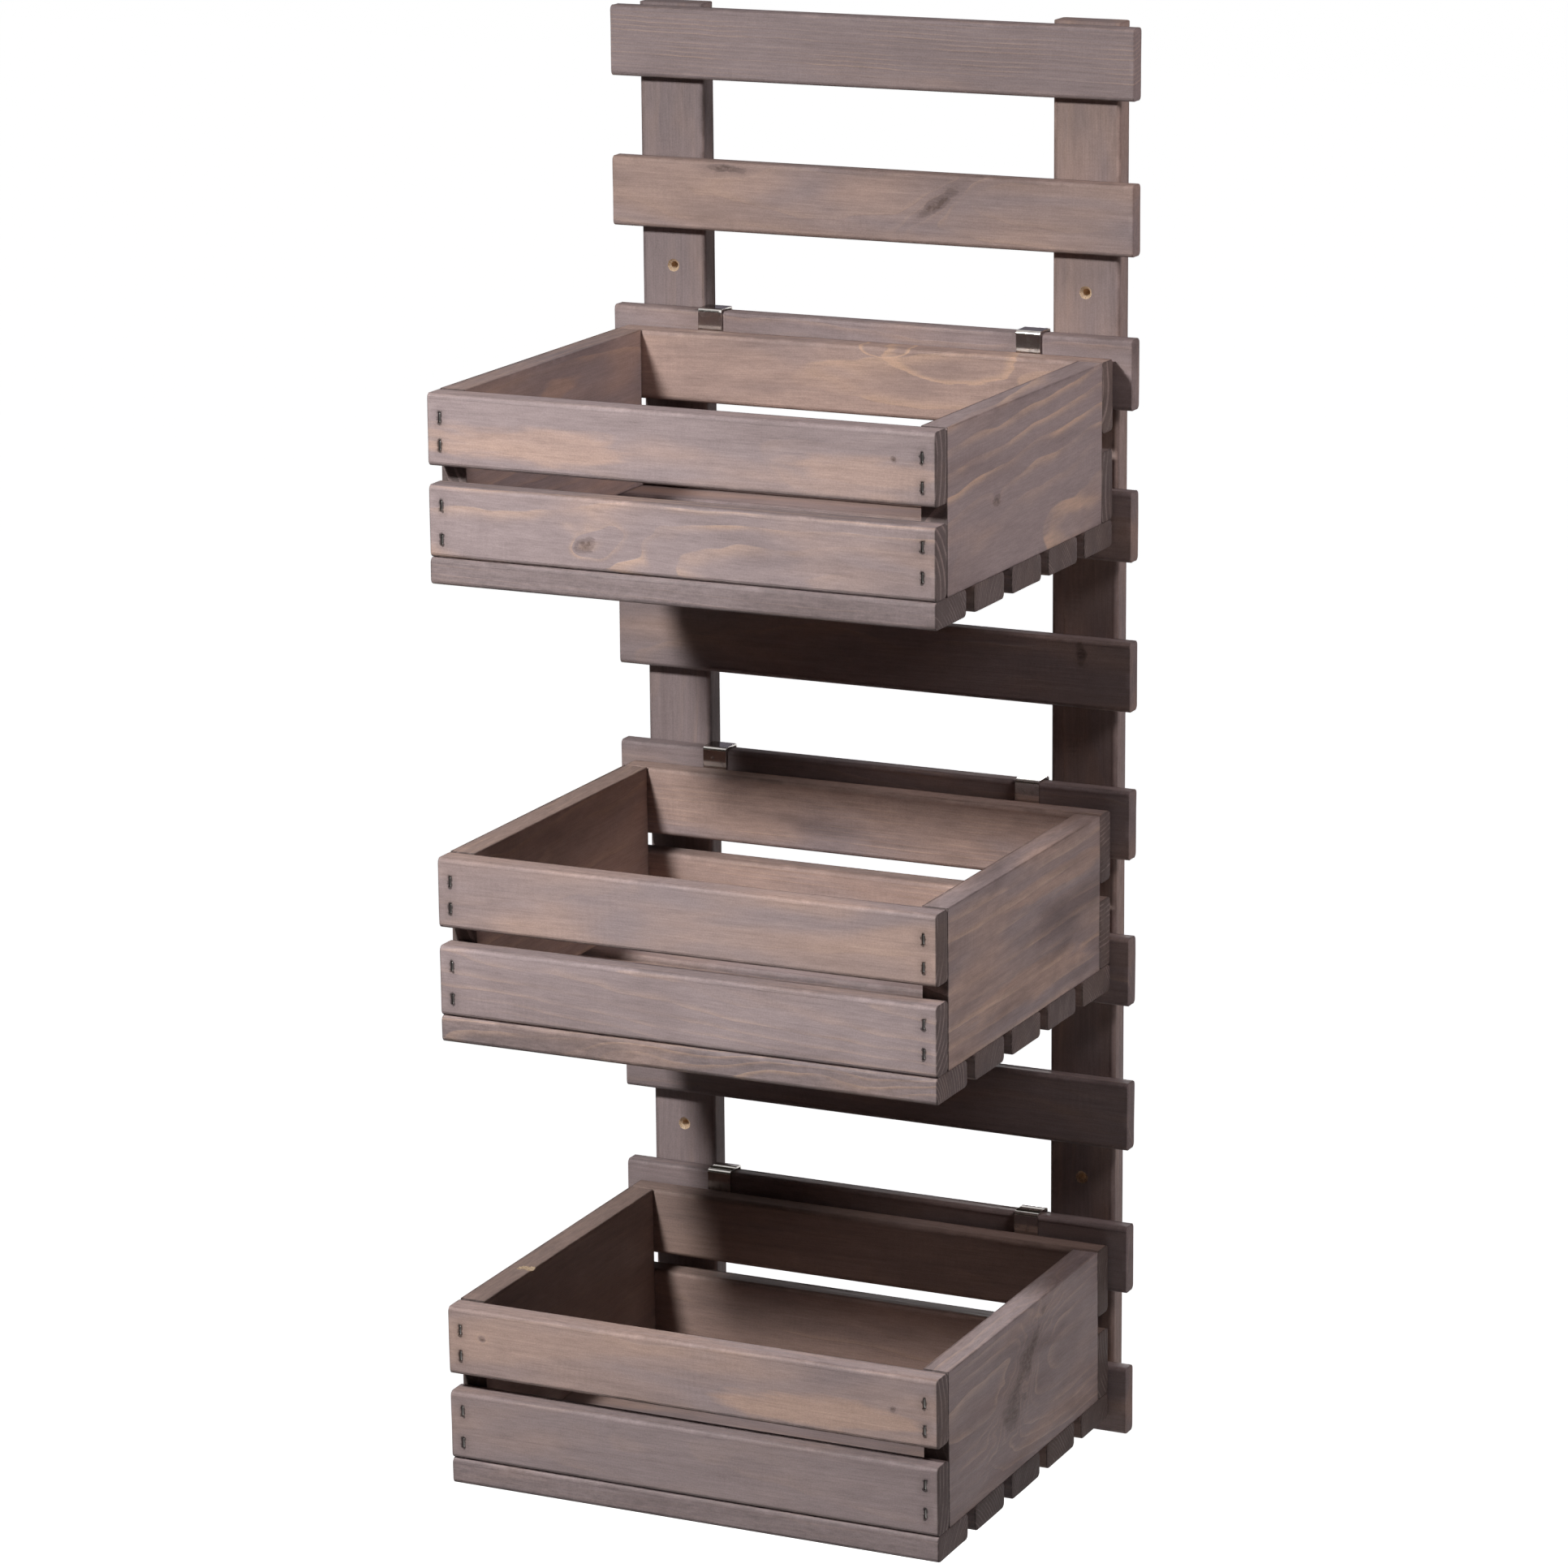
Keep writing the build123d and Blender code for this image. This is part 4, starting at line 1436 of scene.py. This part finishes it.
class LADDER_OT_set_stage(bpy.types.Operator):
    """Set up the floor, the lamps, the background and the camera"""

    bl_idname = "ladder.set_stage"
    bl_label = "Set Stage"

    def execute(self, context):
        stage = context.scene.ladder_stage
        self.lay_floor(stage)
        self.hang_lamps(context.scene, stage)
        self.light_room(context.scene, stage)
        self.place_camera(context.scene, stage)
        context.scene.view_settings.view_transform = "Standard"
        return {"FINISHED"}

    def lay_floor(self, stage):
        foot, half_side = CAD_BOX[0][2] - stage.floor_drop, 14.0
        bm = bmesh.new()
        bmesh.ops.create_grid(bm, x_segments=1, y_segments=1, size=half_side)
        bmesh.ops.translate(bm, vec=(0.0, 0.0, foot), verts=bm.verts)
        material, w, shader = new_material("Floor")
        place = w.own_place()
        plain = [*stage.floor_colour, 1.0]
        worn = [part * 0.985 for part in stage.floor_colour] + [1.0]
        cloud = w.ease(w.cloud(place, scale=3.0, detail=3.0), 0.3, 0.7)
        w.give(shader.inputs, base_color=w.blend(cloud, plain, worn))
        shader.inputs["Roughness"].default_value = 0.9
        shader.inputs["Specular IOR Level"].default_value = 0.0
        # Looked at, the floor is as white as the background, and keeps the shadow near the ladder
        path = w.tree.nodes.new("ShaderNodeLightPath").outputs
        seen = w.most(path["Is Camera Ray"], path["Is Glossy Ray"], path["Is Transmission Ray"])
        x, y = w.parts(place)[:2]
        level = w.ease(w.reach(x, y), 0.6, 2.6, 0.78, 1.0)
        # In reflections the floor grows dim far in front, where the lamps don't reach
        dim = w.times(path["Is Glossy Ray"], w.ease(y, -1.6, -3.4, 0.0, 0.9))
        level = w.times(level, w.less(dim))
        glow = w.put("ShaderNodeEmission", {"Color": WHITE, "Strength": level})
        glow = w.put("ShaderNodeAddShader", {0: shader.outputs[0], 1: glow})
        mixed = w.put("ShaderNodeMixShader", {0: seen, 1: shader.outputs[0], 2: glow})
        out = next(node for node in w.tree.nodes if node.type == "OUTPUT_MATERIAL")
        w.give(out.inputs, surface=mixed)
        floor = new_piece("Floor", mesh_from(bm, "floor"), material)

    def hang_lamps(self, scene, stage):
        # The front lamp is aimed low, so that its light falls off towards the top and the crates look alike.
        # The back lamp stands low, so that the shelves' upper faces keep the front lamp's shadows.
        # Each lamp's name, place, aim, side, spread in degrees, power, and share of green and blue
        lamps = (
            ("Front lamp", (-0.46, -1.464, 1.012), (0.0, -0.285, -0.82), 0.19, 112, stage.key_power, 1.0),
            ("Side lamp", (1.6, -0.30, 1.3), (0.1, -0.15, -0.05), 0.6, 180, stage.side_power, 0.92),
            ("Back lamp", (-0.5, 2.4, -0.25), (0.0, 0.0, -0.05), 1.0, 180, stage.back_power, 1.0)
        )
        for name, spot, aim, size, spread, power, cool in lamps:
            data = bpy.data.lights.new(name, "AREA")
            data.color = (1.0, cool, cool)
            data.shape = "SQUARE"
            data.size = size
            data.spread = math.radians(spread)
            data.energy = power
            lamp = bpy.data.objects.new(name, data)
            scene.collection.objects.link(lamp)
            lamp.location = spot
            lamp.visible_camera = False
            way = Vector(aim) - Vector(spot)
            lamp.rotation_euler = way.to_track_quat("-Z", "Y").to_euler()

    def light_room(self, scene, stage):
        world = bpy.data.worlds.new("Studio")
        scene.world = world
        world.use_nodes = True
        tree = world.node_tree
        tree.nodes.clear()
        w = Wiring(tree)
        path = tree.nodes.new("ShaderNodeLightPath").outputs
        seen = w.most(path["Is Camera Ray"], path["Is Transmission Ray"])
        warm = (1.0, 0.82, 0.74, 1.0)
        fill = w.put("ShaderNodeBackground", {"Color": warm, "Strength": stage.room_light})
        white = w.put("ShaderNodeBackground", {"Color": WHITE, "Strength": 1.0})
        # Shiny metal shows a bright ceiling, a grey wall behind the ladder and a darker room in front of it
        y, z = w.parts(w.put("ShaderNodeTexCoord", {}, "Generated"))[1:]
        room = w.blend(w.ease(y, -0.3, 0.4), (0.03, 0.026, 0.022, 1.0), (0.20, 0.18, 0.21, 1.0))
        room = w.blend(w.ease(z, 0.5, 0.8), room, WHITE)
        mirror = w.put("ShaderNodeBackground", {"Color": room, "Strength": 1.0})
        mixed = w.put("ShaderNodeMixShader", {0: path["Is Glossy Ray"], 1: fill, 2: mirror})
        mixed = w.put("ShaderNodeMixShader", {0: seen, 1: mixed, 2: white})
        w.give(tree.nodes.new("ShaderNodeOutputWorld").inputs, surface=mixed)

    def place_camera(self, scene, stage):
        data = bpy.data.cameras.new("Camera")
        camera = bpy.data.objects.new("Camera", data)
        scene.collection.objects.link(camera)
        data.sensor_width = 36.0
        data.lens = stage.focal_length
        data.clip_end = 100.0
        level, turn = stage.elevation, stage.azimuth
        back = Vector(
            (math.sin(turn) * math.cos(level), -math.cos(turn) * math.cos(level), math.sin(level))
        )
        right = (-back).cross(Vector((0.0, 0.0, 1.0))).normalized()
        up = right.cross(-back)
        tilt = Matrix.Rotation(stage.roll, 3, "Z")
        axes = Matrix((right, up, back)).transposed() @ tilt
        place = Matrix.Translation(Vector(stage.aim) + back * stage.distance) @ axes.to_4x4()
        camera.matrix_world = place
        scene.camera = camera


class LADDER_PT_sidebar(bpy.types.Panel):
    """Lists the pieces, sizes and colours of the plant ladder"""

    bl_idname = "LADDER_PT_sidebar"
    bl_label = "Wall Plant Ladder"
    bl_space_type = "VIEW_3D"
    bl_region_type = "UI"
    bl_category = "Plant Ladder"

    def draw(self, context):
        column = self.layout.column(align=True)
        for step in STEPS:
            column.operator(step.bl_idname)
        for name in SETTINGS:
            settings = getattr(context.scene, name)
            box = self.layout.box()
            for key in settings.bl_rna.properties.keys():
                if key not in {"rna_type", "name"}:
                    box.prop(settings, key)


SETTINGS = {"ladder_wood": LadderWood, "ladder_steel": LadderSteel, "ladder_stage": LadderStage}
STEPS = (
    LADDER_OT_add_stiles, LADDER_OT_add_rails, LADDER_OT_add_rail_staples, LADDER_OT_add_crate_panels,
    LADDER_OT_add_crate_slats, LADDER_OT_add_crate_bottoms, LADDER_OT_add_crate_staples,
    LADDER_OT_add_hooks, LADDER_OT_add_hook_screws, LADDER_OT_set_stage
)


def register():
    for name, kind in SETTINGS.items():
        bpy.utils.register_class(kind)
        setattr(bpy.types.Scene, name, bpy.props.PointerProperty(type=kind))
    for kind in (*STEPS, LADDER_PT_sidebar):
        bpy.utils.register_class(kind)


def unregister():
    for kind in (LADDER_PT_sidebar, *reversed(STEPS)):
        bpy.utils.unregister_class(kind)
    for name, kind in reversed(SETTINGS.items()):
        delattr(bpy.types.Scene, name)
        bpy.utils.unregister_class(kind)


def main():
    register()
    bpy.ops.ladder.add_stiles()
    bpy.ops.ladder.add_rails()
    bpy.ops.ladder.add_rail_staples()
    bpy.ops.ladder.add_crate_panels()
    bpy.ops.ladder.add_crate_slats()
    bpy.ops.ladder.add_crate_bottoms()
    bpy.ops.ladder.add_crate_staples()
    bpy.ops.ladder.add_hooks()
    bpy.ops.ladder.add_hook_screws()
    bpy.ops.ladder.set_stage()


if __name__ == "__main__":
    main()
